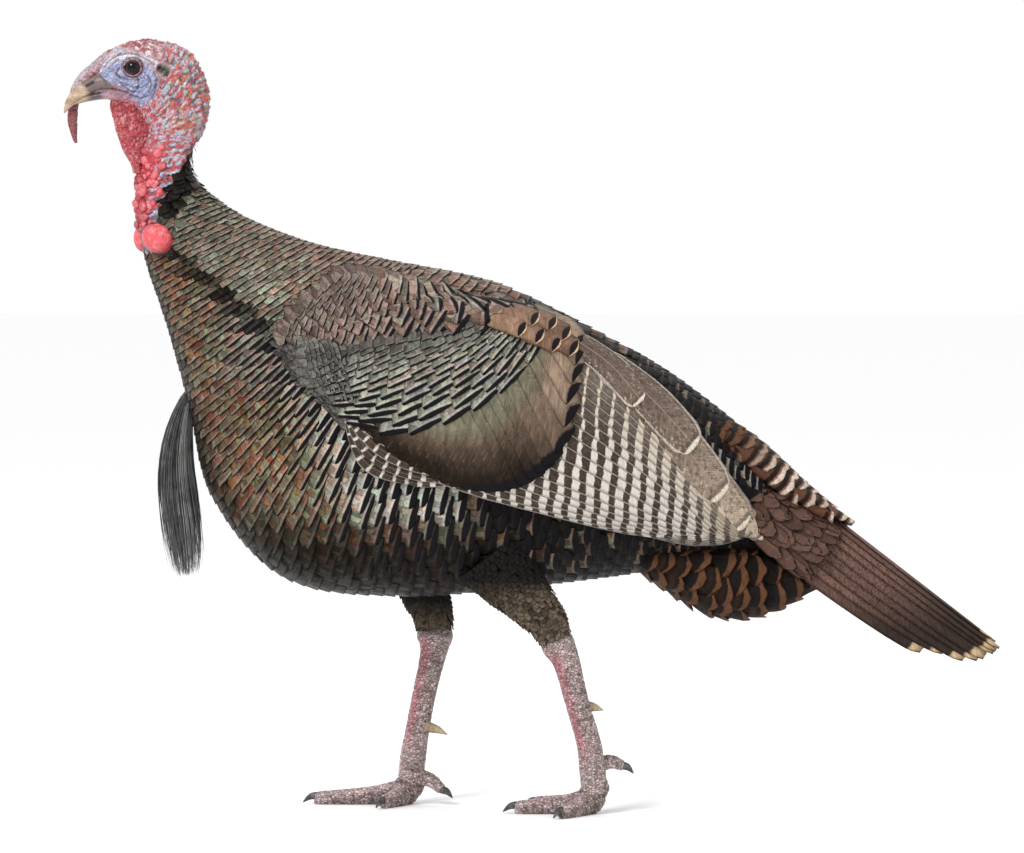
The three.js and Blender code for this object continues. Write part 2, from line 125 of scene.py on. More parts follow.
def smooth(values, t):
    """A smooth curve through evenly spaced values, read at t from 0 to their number less one."""
    values = np.asarray(values, float)
    last = len(values) - 1
    i = np.clip(np.floor(t).astype(int), 0, last - 1)
    f = np.asarray(t - i)
    f = f.reshape(f.shape + (1,) * (values.ndim - 1))
    a, b, c, d = (values[np.clip(i + k, 0, last)] for k in (-1, 0, 1, 2))
    bend = (c - a) * f + (2 * a - 5 * b + 4 * c - d) * f**2 + (3 * b - a - 3 * c + d) * f**3
    return b + bend / 2


def along(values, share):
    return smooth(values, np.clip(share, 0, 1) * (len(values) - 1))


def ramp(value, start, end):
    """0 before start, 1 after end and soft between them."""
    t = np.clip((value - start) / (end - start), 0, 1)
    return t * t * (3 - 2 * t)


def unit(vectors):
    return vectors / np.maximum(np.linalg.norm(vectors, axis=-1, keepdims=True), 1e-9)


def ring_frame(u):
    """Ring u in side view: the middle of its widest level, its way up and its height, and its half width."""
    ring = smooth(RINGS, np.asarray(u, float))
    back, belly = ring[..., 0:2], ring[..., 2:4]
    height = np.linalg.norm(back - belly, axis=-1)
    up = (back - belly) / height[..., None]
    return back - up * (height * WIDEST_AT)[..., None], up, height, ring[..., 4]


def body_point(u, turn, out=0.0):
    """A point of the body, at ring u and turn from the back, moved outwards. Positive turns are its right
    side."""
    middle, up, height, half = ring_frame(u)
    upwards, sideways = (np.sign(v) * np.abs(v) ** (2 / RING_POWER) for v in (np.cos(turn), np.sin(turn)))
    reach = height * np.where(upwards > 0, WIDEST_AT, 1 - WIDEST_AT) + out
    place = middle + up * (upwards * reach)[..., None]
    return np.stack([place[..., 0], sideways * (half + out), place[..., 1]], -1)


def on_body(x, z, first=10.0):
    """The ring and turn where side view shows the body at x, z."""
    x, z = np.asarray(x, float), np.asarray(z, float)
    near, far = np.full(x.shape, first), np.full(x.shape, float(LAST_RING))
    for _ in range(30):
        u = (near + far) / 2
        middle, up, height, half = ring_frame(u)
        away = np.stack([x, z], -1) - middle
        ahead = up[..., 1] * away[..., 0] - up[..., 0] * away[..., 1] > 0
        near, far = np.where(ahead, u, near), np.where(ahead, far, u)
    rise = (away * up).sum(-1)
    share = np.clip(rise / (height * np.where(rise > 0, WIDEST_AT, 1 - WIDEST_AT)), -1, 1)
    return near, np.arccos(np.sign(share) * np.abs(share) ** (RING_POWER / 2))


def tapered(path, depth, breadth):
    """A limb: a path in space, with half sizes in and across the plane of side view."""
    return {"path": np.array(path, float), "depth": depth, "breadth": breadth}


def limb_point(limb, share, turn, out=0.0):
    """A point of a limb: turn 0 is its upper or front edge."""
    step = 0.01
    ahead = unit(along(limb["path"], share + step) - along(limb["path"], share - step))
    upright = unit(np.stack([-ahead[..., 2], 0 * ahead[..., 0], ahead[..., 0]], -1))
    across = unit(np.cross(ahead, upright))
    upright = np.cross(across, ahead)
    rise = ((along(limb["depth"], share) + out) * np.cos(turn))[..., None] * upright
    aside = ((along(limb["breadth"], share) + out) * np.sin(turn))[..., None] * across
    return along(limb["path"], share) + rise + aside


def mottle(points, size, seed):
    """An uneven field from about -1 to 1, with patches of the given size."""
    rng = np.random.default_rng(seed)
    waves = unit(rng.normal(size=(7, 3))) * (2 * math.pi / size) * rng.uniform(0.6, 1.5, (7, 1))
    return np.sin(points @ waves.T + rng.uniform(0, 6.28, 7)).sum(-1) / 3.2


def path_distance(x, z, path):
    """How far points of the side view are from a line of points."""
    path = np.asarray(path, float)
    nearest = np.full(np.shape(x), 1e9)
    for (x0, z0), (x1, z1) in zip(path[:-1], path[1:]):
        share = np.clip(((x - x0) * (x1 - x0) + (z - z0) * (z1 - z0)) / ((x1 - x0) ** 2 + (z1 - z0) ** 2), 0,
                        1)
        nearest = np.minimum(nearest, np.hypot(x - x0 - share * (x1 - x0), z - z0 - share * (z1 - z0)))
    return nearest


def grid_of(first, second):
    return np.meshgrid(first, second, indexing="ij")


def tube_grid(rows, columns):
    """The shares along a tube and the turns round it, at a grid of its points."""
    return grid_of(np.linspace(0, 1, rows), np.linspace(-math.pi, math.pi, columns, endpoint=False))


def with_ends(values):
    """Values at the points of a tube in one list, with the means of both ends for the points that close
    it."""
    return np.concatenate([values.reshape(-1, 3), values[0].mean(0)[None], values[-1].mean(0)[None]])


def tube(points):
    """The points and faces of a tube of rows of points, closed at both ends. Turning goes round its way
    ahead."""
    rows, columns = points.shape[:2]
    r, c = grid_of(np.arange(rows - 1) * columns, np.arange(columns))
    after = (c + 1) % columns
    sides = np.stack([r + c, r + after, r + columns + after, r + columns + c], -1).reshape(-1, 4)
    ring, turned = c[0], after[0]
    end = (rows - 1) * columns
    first = np.stack([0 * ring + rows * columns, turned, ring], -1)
    last = np.stack([0 * ring + rows * columns + 1, end + ring, end + turned], -1)
    return with_ends(points), [sides, first, last]


class Meshing:
    """Gathers shells of one piece: points, faces, and the colour, marks and material of each."""

    def __init__(self):
        self.points, self.colours, self.marks, self.faces, self.slots = [], [], [], [], []
        self.count = 0

    def add(self, points, faces, colours, marks=(0, 0, 0), slot=0):
        self.points.append(points)
        self.colours.append(np.broadcast_to(colours, points.shape))
        self.marks.append(np.broadcast_to(marks, points.shape))
        self.faces += [part + self.count for part in faces]
        self.slots += [np.full(len(part), slot) for part in faces]
        self.count += len(points)


DEEPER = 0.83  # all the colours, for the strength of the lamps


def new_piece(name, points, faces, materials, tints=None, marks=None, maps=None, slots=None):
    """A smooth mesh in metres that rides on the body, with its colours, other values and UV maps."""
    mesh = bpy.data.meshes.new(name)
    mesh.vertices.add(len(points))
    mesh.vertices.foreach_set("co", (points * MM).astype(np.float32).ravel())
    corners = np.concatenate([part.ravel() for part in faces]).astype(np.int32)
    sizes = np.concatenate([np.full(len(part), part.shape[1]) for part in faces])
    mesh.loops.add(len(corners))
    mesh.loops.foreach_set("vertex_index", corners)
    mesh.polygons.add(len(sizes))
    mesh.polygons.foreach_set("loop_start", np.concatenate([[0], np.cumsum(sizes)[:-1]]).astype(np.int32))
    if slots is not None:
        mesh.polygons.foreach_set("material_index", np.concatenate(slots).astype(np.int32))
    mesh.polygons.foreach_set("use_smooth", np.ones(len(sizes), bool))
    mesh.update(calc_edges=True)
    for title, values in (("tint", tints), ("marks", marks)):
        if values is not None:
            full = np.ones((len(points), 4), np.float32)
            full[:, :3] = np.asarray(values) * (DEEPER if title == "tint" else 1)
            mesh.attributes.new(title, "FLOAT_COLOR", "POINT").data.foreach_set("color", full.ravel())
    for title, values in (maps or {}).items():
        layer = mesh.uv_layers.new(name=title)
        layer.data.foreach_set("uv", values[corners].astype(np.float32).ravel())
    for finish in materials:
        mesh.materials.append(finish)
    piece = bpy.data.objects.new(name, mesh)
    bpy.context.collection.objects.link(piece)
    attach(piece, BODY)
    return piece


def outward(points):
    """The outward directions of a grid of points that closes round its columns."""
    ahead = np.gradient(points, axis=0)
    around = np.roll(points, -1, axis=1) - np.roll(points, 1, axis=1)
    return unit(np.cross(around, ahead))


def beads(points, row, turn, place, rows, around, long, wide, seed):
    """Oval beads in staggered rows round a limb: how high each point stands on one, and that bead's own
    number, which is over 1 in every other row."""
    rng = np.random.default_rng(seed)
    step = 2 * math.pi / around
    bead_row, bead_column = grid_of(np.arange(rows), np.arange(around))
    stray_row, stray_turn = rng.uniform(-0.3, 0.3, (2, rows, around))
    centre = place(bead_row + stray_row, (bead_column + bead_row % 2 / 2 + stray_turn) * step)
    size = rng.uniform(0.6, 1.15, (rows, around))
    number = rng.uniform(size=(rows, around)) + bead_row % 2
    way = unit(place(row, turn + 0.01) - place(row, turn - 0.01))
    height, own = np.zeros(row.shape), np.zeros(row.shape)
    for row_step in (-1, 0, 1):
        r = np.clip(np.round(row).astype(int) + row_step, 0, rows - 1)
        nearest = np.round(turn / step - r % 2 / 2).astype(int)
        for column_step in (-1, 0, 1):
            c = (nearest + column_step) % around
            away = points - centre[r, c]
            lengthways = (away * way).sum(-1)
            sideways = np.linalg.norm(away - lengthways[..., None] * way, axis=-1)
            rise = size[r, c] ** 2 - (lengthways / long) ** 2 - (sideways / wide) ** 2
            rise = np.sqrt(np.maximum(rise, 0))
            higher = rise > height
            height, own = np.where(higher, rise, height), np.where(higher, number[r, c], own)
    return height, own


def blend(first, second, share):
    return np.asarray(first) + (np.asarray(second) - np.asarray(first)) * np.asarray(share)[..., None]


def layered(colour, *layers):
    """Colours laid one over another, each over its share of what lies below."""
    for over, share in layers:
        colour = blend(colour, over, share)
    return colour


BREAST_FOLD = [(-366, 558), (-338, 540), (-308, 517), (-282, 496), (-262, 480), (-250, 466)]
FOLD_DEPTH, FOLD_WIDTH = 9.0, 6.0


def fold_drop(points):
    """How far the plumage sinks into the fold between neck and breast."""
    away = path_distance(points[..., 0], points[..., 2], BREAST_FOLD)
    return FOLD_DEPTH * np.exp(-((away / FOLD_WIDTH) ** 2)) * ramp(np.abs(points[..., 1]), 15, 35)


FACE_BLUE = (0.27, 0.31, 0.5)
CROWN_WHITE = (0.62, 0.48, 0.5)
NECK_PALE = (0.46, 0.48, 0.6)
BEAD_RED = (0.5, 0.078, 0.088)
BEAD_ORANGE = (0.52, 0.18, 0.085)
BEAD_PINK = (0.56, 0.28, 0.3)
BEAD_GREEN = (0.36, 0.4, 0.38)
FURROW_SHADE = (0.15, 0.11, 0.15)
FLESH_RED = (0.68, 0.06, 0.08)
FLESH_DARK = (0.32, 0.025, 0.036)
LOBE_RED = (0.72, 0.092, 0.106)
CERE_BROWN = (0.17, 0.115, 0.115)
LID_PURPLE = (0.2, 0.1, 0.14)
SHADOW = (0.05, 0.035, 0.035)
SHADE_UNDER_PLUMAGE = (0.035, 0.03, 0.026)

EYE_X, EYE_Y, EYE_Z, EYE_RADIUS = -396.8, 17.5, 742.0, 9.4
LID_OPENING = 8.3
EAR_X, EAR_Z = -366.0, 738.0
BROW = [(-436, 738), (-421, 747), (-402, 753.5), (-386, 751), (-374, 746)]
LID_FOLD = [(-412, 753.5), (-404, 756.5), (-393, 755.5), (-382, 749.5), (-375, 744)]
MOUTH = [(-440, 718), (-427, 720.6), (-414, 719.4), (-402, 716.5)]
CHEEK_FOLDS = [
    [(-410, 727), (-405, 722), (-398, 718), (-390, 717)],
    [(-414, 735), (-405, 730), (-395, 729), (-385, 732)],
    [(-408, 727), (-398, 722), (-388, 722), (-379, 728)],
    [(-400, 714), (-390, 711), (-380, 714), (-374, 724)],
    [(-412, 741), (-414, 736), (-410, 731)],
    [(-385, 737), (-380, 731), (-378, 724), (-381, 717)],
    [(-376, 738), (-373, 730), (-374, 720), (-378, 712)],
    [(-421, 741), (-417, 746), (-411, 750)],
    [(-394, 733), (-391, 726), (-393, 720)],
    [(-426, 742), (-419, 750), (-409, 757)],
]
GAPE = [(-417, 722), (-410, 718.5), (-402, 713.5)]
FEATHERED_FROM = [(-380, 556), (-372, 575), (-371, 596), (-366, 612), (-359, 625), (-347, 646), (-337, 668)]
BARE_TOP, BARE_BOTTOM = 668, 552  # of the bare front of the neck


def feather_line(z):
    """Where the feathers of the neck begin in side view, at height z."""
    return np.interp(z, [spot_z for _, spot_z in FEATHERED_FROM], [spot_x for spot_x, _ in FEATHERED_FROM])


HEAD_COLUMNS = 164
HEAD_ROWS = 22  # for each ring of the head and neck
NECK_END = 10.9
TRUNK_ROWS = 3

flesh = Meshing()
u_rows = np.concatenate([
    np.arange(0, NECK_END, 1 / HEAD_ROWS),
    np.arange(NECK_END, LAST_RING, 1 / TRUNK_ROWS),
    [LAST_RING],
])
turns = np.linspace(math.pi, -math.pi, HEAD_COLUMNS, endpoint=False)
skin_u, skin_turn = grid_of(u_rows, turns)
base = body_point(skin_u, skin_turn)
x, y, z = base[..., 0], base[..., 1], base[..., 2]
side_on = ramp(np.abs(y), 6, 15)

feathered = np.maximum(ramp(x - feather_line(z), -3, 4) * (z < BARE_TOP), z < BARE_BOTTOM)
coat_depth = 2.0 * ramp(skin_u, 8.5, 10.5) * feathered + 6.5 * ramp(skin_u, 10.5, 13)

straying = 1.3 * np.stack([mottle(base, 6.5, seed) for seed in (61, 62, 63)], -1)
outwards = outward(base)
warped = base + straying - outwards * (straying * outwards).sum(-1)[..., None]
NECK_BEAD_ROWS = 6.6  # for each ring
neck_beads, neck_own = beads(
    warped, (skin_u - 3.2) * NECK_BEAD_ROWS, skin_turn,
    lambda row, turn: body_point(3.2 + row / NECK_BEAD_ROWS, turn), 52, 52, 3.8, 2.1, 3)
CROWN_BEAD_ROWS = 4.6
crown_beads, crown_own = beads(
    warped, (skin_u - 0.3) * CROWN_BEAD_ROWS, skin_turn,
    lambda row, turn: body_point(0.3 + row / CROWN_BEAD_ROWS, turn), 34, 40, 2.4, 1.9, 4)

eye_distance = np.hypot(x - EYE_X, (z - EYE_Z) * 1.04)
ear_distance = np.hypot(x - EAR_X, z - EAR_Z)
face = 1 - ramp(np.hypot((x + 402) / 31, (z - 727) / 26), 0.8, 1.12)
face = face * (1 - ramp(z + 0.28 * (x + 400), 748, 753)) * side_on
crown = ramp(z + 0.25 * (x + 400), 755, 762) * (1 - ramp(skin_u, 3.5, 4.1))
beaded = (1 - face) * (1 - ramp(-ear_distance, -9, -6)) * (1 - crown)
beaded = beaded * ramp(skin_u, 3.0, 3.6) * (1 - ramp(feathered, 0.3, 0.9))
crown_beaded = ramp(z + 0.25 * (x + 400), 755, 763) * (1 - ramp(skin_u, 3.5, 4.1)) * (1 - face)
throat = ramp(-z, -712, -704) * (1 - ramp(x, -398, -388)) * (1 - ramp(-z, -655, -640))


def line_at(path, width, off=0.0):
    """How strongly each point of the skin lies on a soft line down both sides of the head."""
    return np.exp(-(((path_distance(x, z, path) - off) / width) ** 2)) * side_on


def near_ear(x_off, z_off, start, end, tall=1.0):
    """How close each point of the skin is to a spot beside the ear's middle."""
    return (1 - ramp(np.hypot(x - EAR_X + x_off, (z - EAR_Z + z_off) / tall), start, end)) * side_on


fine_fold = mottle(base * (1, 1, 1.6), 5.0, 8)
proud = np.where(neck_own > 1, 1.9, 2.7)
rise = proud * neck_beads * beaded + 1.6 * crown_beads * crown_beaded - 0.8
rise += 0.5 * fine_fold * (1 - feathered)
rise += 1.5 * line_at(BROW, 2.6) - 0.9 * line_at(LID_FOLD, 0.8) - 1.3 * line_at(MOUTH, 1.0)
for fold in CHEEK_FOLDS:
    rise += 0.5 * line_at(fold, 1.2, 2.4) - 0.9 * line_at(fold, 0.9)
rise += 1.4 * np.exp(-(((ear_distance - 7.4) / 1.6) ** 2)) * side_on
rise -= 2.4 * near_ear(3.0, -3.0, 2.0, 5.5)
rise -= 2.6 * (1 - ramp(eye_distance, 10, 17)) * side_on
rise -= coat_depth + fold_drop(base)
skin = base + outward(base) * rise[..., None]
socket = (1 - ramp(eye_distance, LID_OPENING - 0.6, LID_OPENING + 0.9)) * side_on
skin[..., 1] = np.where(socket > 0, np.sign(y) * (np.abs(skin[..., 1]) * (1 - socket) + 13 * socket),
                        skin[..., 1])

pick = neck_own % 1
near_nape = ramp(x, -374, -352) * ramp(z, 660, 690)
red_bead = layered(BEAD_RED, (BEAD_ORANGE, (pick < 0.34) * near_nape), (BEAD_PINK, 1.0 * (pick > 0.7)))
pale_bead = layered(NECK_PALE, (BEAD_GREEN, (pick < 0.4) * near_nape), (CROWN_WHITE, 0.7 * (pick > 0.6)),
                    (BEAD_RED, 0.9 * (pick > 0.86)))
bead = np.where((neck_own > 1)[..., None], pale_bead, red_bead)
# Painted shade and highlight: each neck and crown bead is darker at its foot and lighter on its top.
bead = bead * (0.72 + 0.42 * ramp(neck_beads, 0.3, 0.95))[..., None]
crown_bead = blend((0.36, 0.055, 0.065), (0.74, 0.61, 0.62), ramp(crown_own % 1, 0.5, 0.7))
crown_bead = crown_bead * (0.7 + 0.45 * ramp(crown_beads, 0.3, 0.95))[..., None]
cere_side = 305.5 - x - z  # over 0 at the root of the bill
front_flesh = ramp(-(x + 0.25 * (650 - z)), 369, 377) * ramp(-z, -668, -650)

tint = layered(
    NECK_PALE,
    (CROWN_WHITE, ramp(mottle(base, 14.0, 5), -0.5, 0.7)),
    (CROWN_WHITE, crown),
    # Painted shade: the dark ground between the beads stands for the shade in the furrows.
    (FURROW_SHADE, 0.92 * beaded),
    (bead, ramp(neck_beads, 0.12, 0.6) * beaded),
    ((0.47, 0.24, 0.25), 0.8 * crown_beaded),
    (crown_bead, ramp(crown_beads, 0.08, 0.5) * crown_beaded),
    (FACE_BLUE, face),
    ((0.46, 0.38, 0.52), 0.7 * face * ramp(mottle(base, 9.0, 6), 0.1, 0.8)),
    ((0.62, 0.62, 0.74), 0.8 * face * ramp(mottle(base * (1, 1, 1.4), 3.2, 16), 0.35, 0.8)),
    ((0.36, 0.17, 0.22), 0.8 * (1 - ramp(path_distance(x, z, GAPE), 2.5, 6)) * side_on),
    (CERE_BROWN, ramp(cere_side, -1.5, 1.5) * ramp(z, 717, 720)),
    ((0.37, 0.2, 0.24), ramp(cere_side - 0.5, -1.5, 1.5) * (1 - ramp(z, 717, 720)) * ramp(z, 704, 709)),
    ((0.72, 0.66, 0.72), 0.85 * line_at(BROW, 3.2)),
    # Painted shade: the lid fold, the mouth line and each cheek fold are darkened along their creases.
    (SHADOW, 0.75 * line_at(LID_FOLD, 0.8)),
    (SHADOW, 0.8 * line_at(MOUTH, 0.9)),
    *[((0.07, 0.06, 0.11), 0.85 * line_at(fold, 0.8)) for fold in CHEEK_FOLDS],
    (LID_PURPLE, (1 - ramp(eye_distance, 10.3, 12.5)) * side_on),
    ((0.42, 0.27, 0.28), near_ear(0.0, 0.0, 6.5, 9.5)),
    ((0.17, 0.18, 0.145), near_ear(-1.0, -1.0, 3, 5.5, 1.3)),
    # Painted shade in the sunken ear opening.
    ((0.03, 0.026, 0.026), near_ear(4.0, -4.0, 1.2, 3.6)),
    (FLESH_RED, 0.85 * throat),
    (FLESH_RED, front_flesh * (1 - feathered)))
# Painted shade and highlight: the skin is darker where its fine folds sink and lighter where they rise.
tint = tint * (1 + 0.22 * fine_fold * (1 - beaded))[..., None]
# Painted shade: skin hidden under the feathers is near black, as the shade between them.
tint = blend(tint, SHADE_UNDER_PLUMAGE, feathered)

granular = np.stack([np.maximum(throat, front_flesh), 0 * x, 0 * x], -1)
skin_shape, skin_faces = tube(skin)
flesh.add(skin_shape, skin_faces, with_ends(tint), with_ends(granular))


def add_limb(limb, rows, columns, seed, look, grain=(2.0, 1.2), slot=0):
    """A limb's shell with its own beads; look gives the rise and colour of each of its points."""
    share, turn = tube_grid(rows, columns)
    points = limb_point(limb, share, turn)
    lengths = np.linalg.norm(np.diff(limb["path"], axis=0), axis=-1).sum()
    girth = 2 * math.pi * np.mean(limb["depth"])
    bead_rows, around = int(lengths / grain[1] / 1.5), max(int(girth / grain[0] / 1.5), 6)
    height, own = beads(points, share * bead_rows, turn,
                        lambda row, angle: limb_point(limb, row / bead_rows, angle), bead_rows, around,
                        grain[0], grain[1], seed)
    rise, colour = look(points, share, turn, height, own)
    points = points + outward(points) * rise[..., None]
    points[..., 2] = np.maximum(points[..., 2], 0.15)
    shape, faces = tube(points)
    flesh.add(shape, faces, with_ends(colour), (1, 0, 0) if slot == 0 else (0, 0, 0), slot)


def red_look(points, share, turn, height, own):
    """Granular red flesh, with painted shade in the creases between its grains."""
    colour = blend(FLESH_DARK, (0.56, 0.085, 0.1), ramp(height, 0.05, 0.5))
    return 0.8 * height, blend(colour, (0.74, 0.34, 0.35),
                               0.8 * ramp(own % 1, 0.45, 0.9) * ramp(height, 0.3, 0.8))


def snood_look(points, share, turn, height, own):
    rise, colour = red_look(points, share, turn, height, own)
    # Painted shade: the pale upper snood is darker between its beads than on them.
    pale = blend((0.3, 0.1, 0.11), (0.52, 0.3, 0.31), ramp(height, 0.2, 0.8) * ramp(own % 1, 0.2, 0.8))
    colour = blend(colour, pale, 0.75 * (1 - ramp(share, 0.42, 0.6)))
    return rise, blend(colour, (0.17, 0.075, 0.08), 0.65 * ramp(share, 0.5, 0.75))


SNOOD = tapered([(-404, 0, 757), (-418.5, 1, 754.5), (-432, 2.5, 745), (-446, 5, 733), (-454.5, 8, 721),
                 (-458.5, 10.5, 704), (-459, 10.5, 685), (-456, 10, 667)],
                [5.5, 6, 5.7, 5.3, 5, 4.8, 4, 0.8], [8, 7, 6, 5, 4.4, 4.5, 3.6, 0.8])
DEWLAP = tapered([(-398, 0, 719), (-404.5, 0, 707), (-399, 0, 694), (-397, 0, 680), (-396, 0, 664),
                  (-393, 0, 648), (-392.5, 0, 637)],
                 [9, 16, 18.5, 17.5, 13, 7.5, 5], [6, 5.5, 4.5, 4.5, 5, 6, 7])
FOREHEAD = tapered([(-400, 0, 752), (-422, 0, 746), (-437, 0, 739), (-449, 0, 730), (-458, 0, 719)],
                   [10, 11, 7.0, 5.2, 2.5], [16, 12.5, 9.2, 6.4, 2.5])


def forehead_look(points, share, turn, height, own):
    """Pale skin of the forehead, beaded in red towards the snood."""
    low = ramp(np.abs(turn), 1.05, 1.9)
    top = blend((0.36, 0.055, 0.06), CROWN_WHITE, ramp(own % 1, 0.58, 1.0))
    # Painted shade: the skin is darker between the beads than on them.
    colour = blend(blend((0.24, 0.075, 0.08), (0.42, 0.28, 0.32), low), blend(top, (0.6, 0.46, 0.51), low),
                   ramp(height, 0.05, 0.5))
    return (1.3 - 0.6 * low) * height, colour


add_limb(FOREHEAD, 60, 52, 13, forehead_look, (1.7, 1.5))
add_limb(SNOOD, 96, 22, 11, snood_look, (1.9, 1.3))
add_limb(DEWLAP, 76, 60, 12, red_look, (1.5, 2.2))


def add_lump(centre, radii, seed, pitch=0.0, rows=12, columns=18, colour=FLESH_RED):
    """A swollen lump of red flesh, pitched forwards or back."""
    polar, turn = grid_of(np.linspace(0.02, math.pi - 0.02, rows),
                              np.linspace(math.pi, -math.pi, columns, endpoint=False))
    ball = np.stack([np.sin(polar) * np.cos(turn), np.sin(polar) * np.sin(turn), np.cos(polar)], -1)
    crease = np.exp(-((mottle(ball * 10 + seed, 13.0, seed + 5) / 0.1) ** 2)) * ramp(ball[..., 2], -0.3, 0.5)
    dent = 1 + 0.012 * mottle(ball * 10 + seed, 14.0, seed) - 0.035 * crease
    shape = ball * dent[..., None] * np.asarray(radii)
    tilt = np.array([[math.cos(pitch), 0, math.sin(pitch)], [0, 1, 0],
                     [-math.sin(pitch), 0, math.cos(pitch)]])
    points, faces = tube(shape @ tilt.T + centre)
    tones = blend(colour, (0.8, 0.34, 0.35), 0.45 * ramp(mottle(points, 7.0, seed + 1), 0, 1))
    # Painted light and shade: each lump is lighter on its side that faces out and forwards, darker on the far side
    # and in its creases.
    outer = unit(np.array([-0.45, 1.0 if centre[1] > 10 else -1.0, 0.2]))
    lit = np.concatenate([(ramp(ball @ outer, -0.25, 0.75) * (1 - 0.5 * crease)).ravel(), [0.5, 0.5]])
    tones = blend(tones * 0.42, tones, lit)
    flesh.add(points, faces, tones, (0.0, 0.8, 0))


add_lump((-371.5, -37, 572), (16.5, 13.0, 14.5), 1, 0.55, 36, 48, LOBE_RED)
add_lump((-385.0, 8, 573), (13.5, 13, 15.5), 2, 0.1, 28, 36, LOBE_RED)
lump_rng = np.random.default_rng(21)
for side in (LEFT, RIGHT):
    for number in range(90):
        lump_x, lump_z = lump_rng.uniform(-397, -352), lump_rng.uniform(586, 664)
        behind = np.interp(lump_z, [556, 600, 668], [-384, -370, -350]) - 3
        if lump_x > behind:
            continue
        u_lump, turn_lump = on_body(lump_x, lump_z, 7.0)
        radius = 2.0 + 3.6 * lump_rng.uniform() ** 1.4
        place = body_point(u_lump, side * turn_lump, lump_rng.uniform(-0.5, 1.2))
        tone = blend((0.44, 0.04, 0.06), (0.8, 0.17, 0.19), lump_rng.uniform())
        radii = radius * lump_rng.uniform(0.8, 1.35, 3)
        add_lump(place, radii, 30 + number, lump_rng.uniform(-0.8, 0.8), 9, 12, tone)
for row, z_row in enumerate(np.arange(586, 650, 6.4)):
    jog = lump_rng.uniform(-1.8, 1.8, 3)
    add_lump((-391.5 + jog[0], 3.5 * (-1) ** row + jog[1], z_row + jog[2]), (5.6, 6.0, 5.4) + jog * 0.5,
             60 + row,
             colour=FLESH_DARK)

# The legs are bare and horny below the hock: broad scutes down the front and over the toes, fine scales
# behind.
FOOT_SPREAD, HIP_SPREAD, HIP_HEIGHT = 45.0, 58.0, 262.0
LEGS = {
    "left": {
        "side": LEFT,
        "thigh": [(-43, 262), (-19, 232), (-2, 212), (15, 192), (25, 171)],
        "shade": (214, 236),
        "thigh_depth": [42, 33, 26.5, 21.5, 17],
        "shank": [(34, 152), (44.5, 112), (56, 72), (60, 44), (62, 20)],
        "pad": (58, 14.5), "heel": (68, 26),
        "toes": {2: (6, 38), 3: (-12, 0), 4: (30, 58)},
        "hallux": [(60, 46), (77, 51), (90, 47)], "hallux_tip": (101, 39),
        "spur": [(51, 108), (62, 106), (71, 103)],
    },
    "right": {
        "side": RIGHT,
        "thigh": [(-122, 262), (-113, 232), (-107, 212), (-100, 192), (-98, 171)],
        "shade": (172, 212),
        "thigh_depth": [38, 31, 26, 22, 18.5],
        "shank": [(-99.5, 152), (-108.5, 112), (-116, 72), (-120, 48), (-123, 18)],
        "pad": (-127, 14.5), "heel": (-117, 20),
        "toes": {2: (-148, 62), 3: (-214, 0), 4: (-172, 40)},
        "hallux": [(-118, 30), (-102, 25), (-91, 16)], "hallux_tip": (-80, 8),
        "spur": [(-108, 79), (-96, 76), (-85, 71)],
    },
}
SHANK_DEPTH, SHANK_BREADTH = [12.9, 11.4, 11.6, 12.5, 12], [11, 9.5, 9.5, 10.5, 10.5]
TOE_HEIGHTS, TOE_DEPTH, TOE_BREADTH = [15, 8.5, 6.5, 6], [11, 10, 8.6, 6.6], [9, 8.4, 7.4, 5.4]
CLAW_LENGTH, CLAW_ROOT = 17.0, 4.0
SCALE_PINK, SCALE_ROSE = (0.43, 0.27, 0.27), (0.44, 0.13, 0.16)
SCALE_BROWN, SCALE_GREY = (0.14, 0.095, 0.085), (0.52, 0.42, 0.4)


def leg_spread(leg, height):
    return leg["side"] * (FOOT_SPREAD + (HIP_SPREAD - FOOT_SPREAD) * height / HIP_HEIGHT)


def leg_limb(leg):
    return tapered([(px, leg_spread(leg, pz), pz) for px, pz in leg["thigh"] + leg["shank"]],
                   leg["thigh_depth"] + SHANK_DEPTH, [0.8 * d for d in leg["thigh_depth"]] + SHANK_BREADTH)


def toe_point(leg, name, distance, height):
    """A point over a front toe, at a distance from the pad along the way it points."""
    swing = math.radians(leg["toes"][name][1])
    outwards = -leg["side"] if name == 2 else leg["side"]
    sideways = outwards * distance * math.sin(swing)
    return (leg["pad"][0] - distance * math.cos(swing), leg["side"] * FOOT_SPREAD + sideways, height)


def toe_reach(leg, name):
    toe_x, turn = leg["toes"][name]
    return (leg["pad"][0] - toe_x) / math.cos(math.radians(turn))


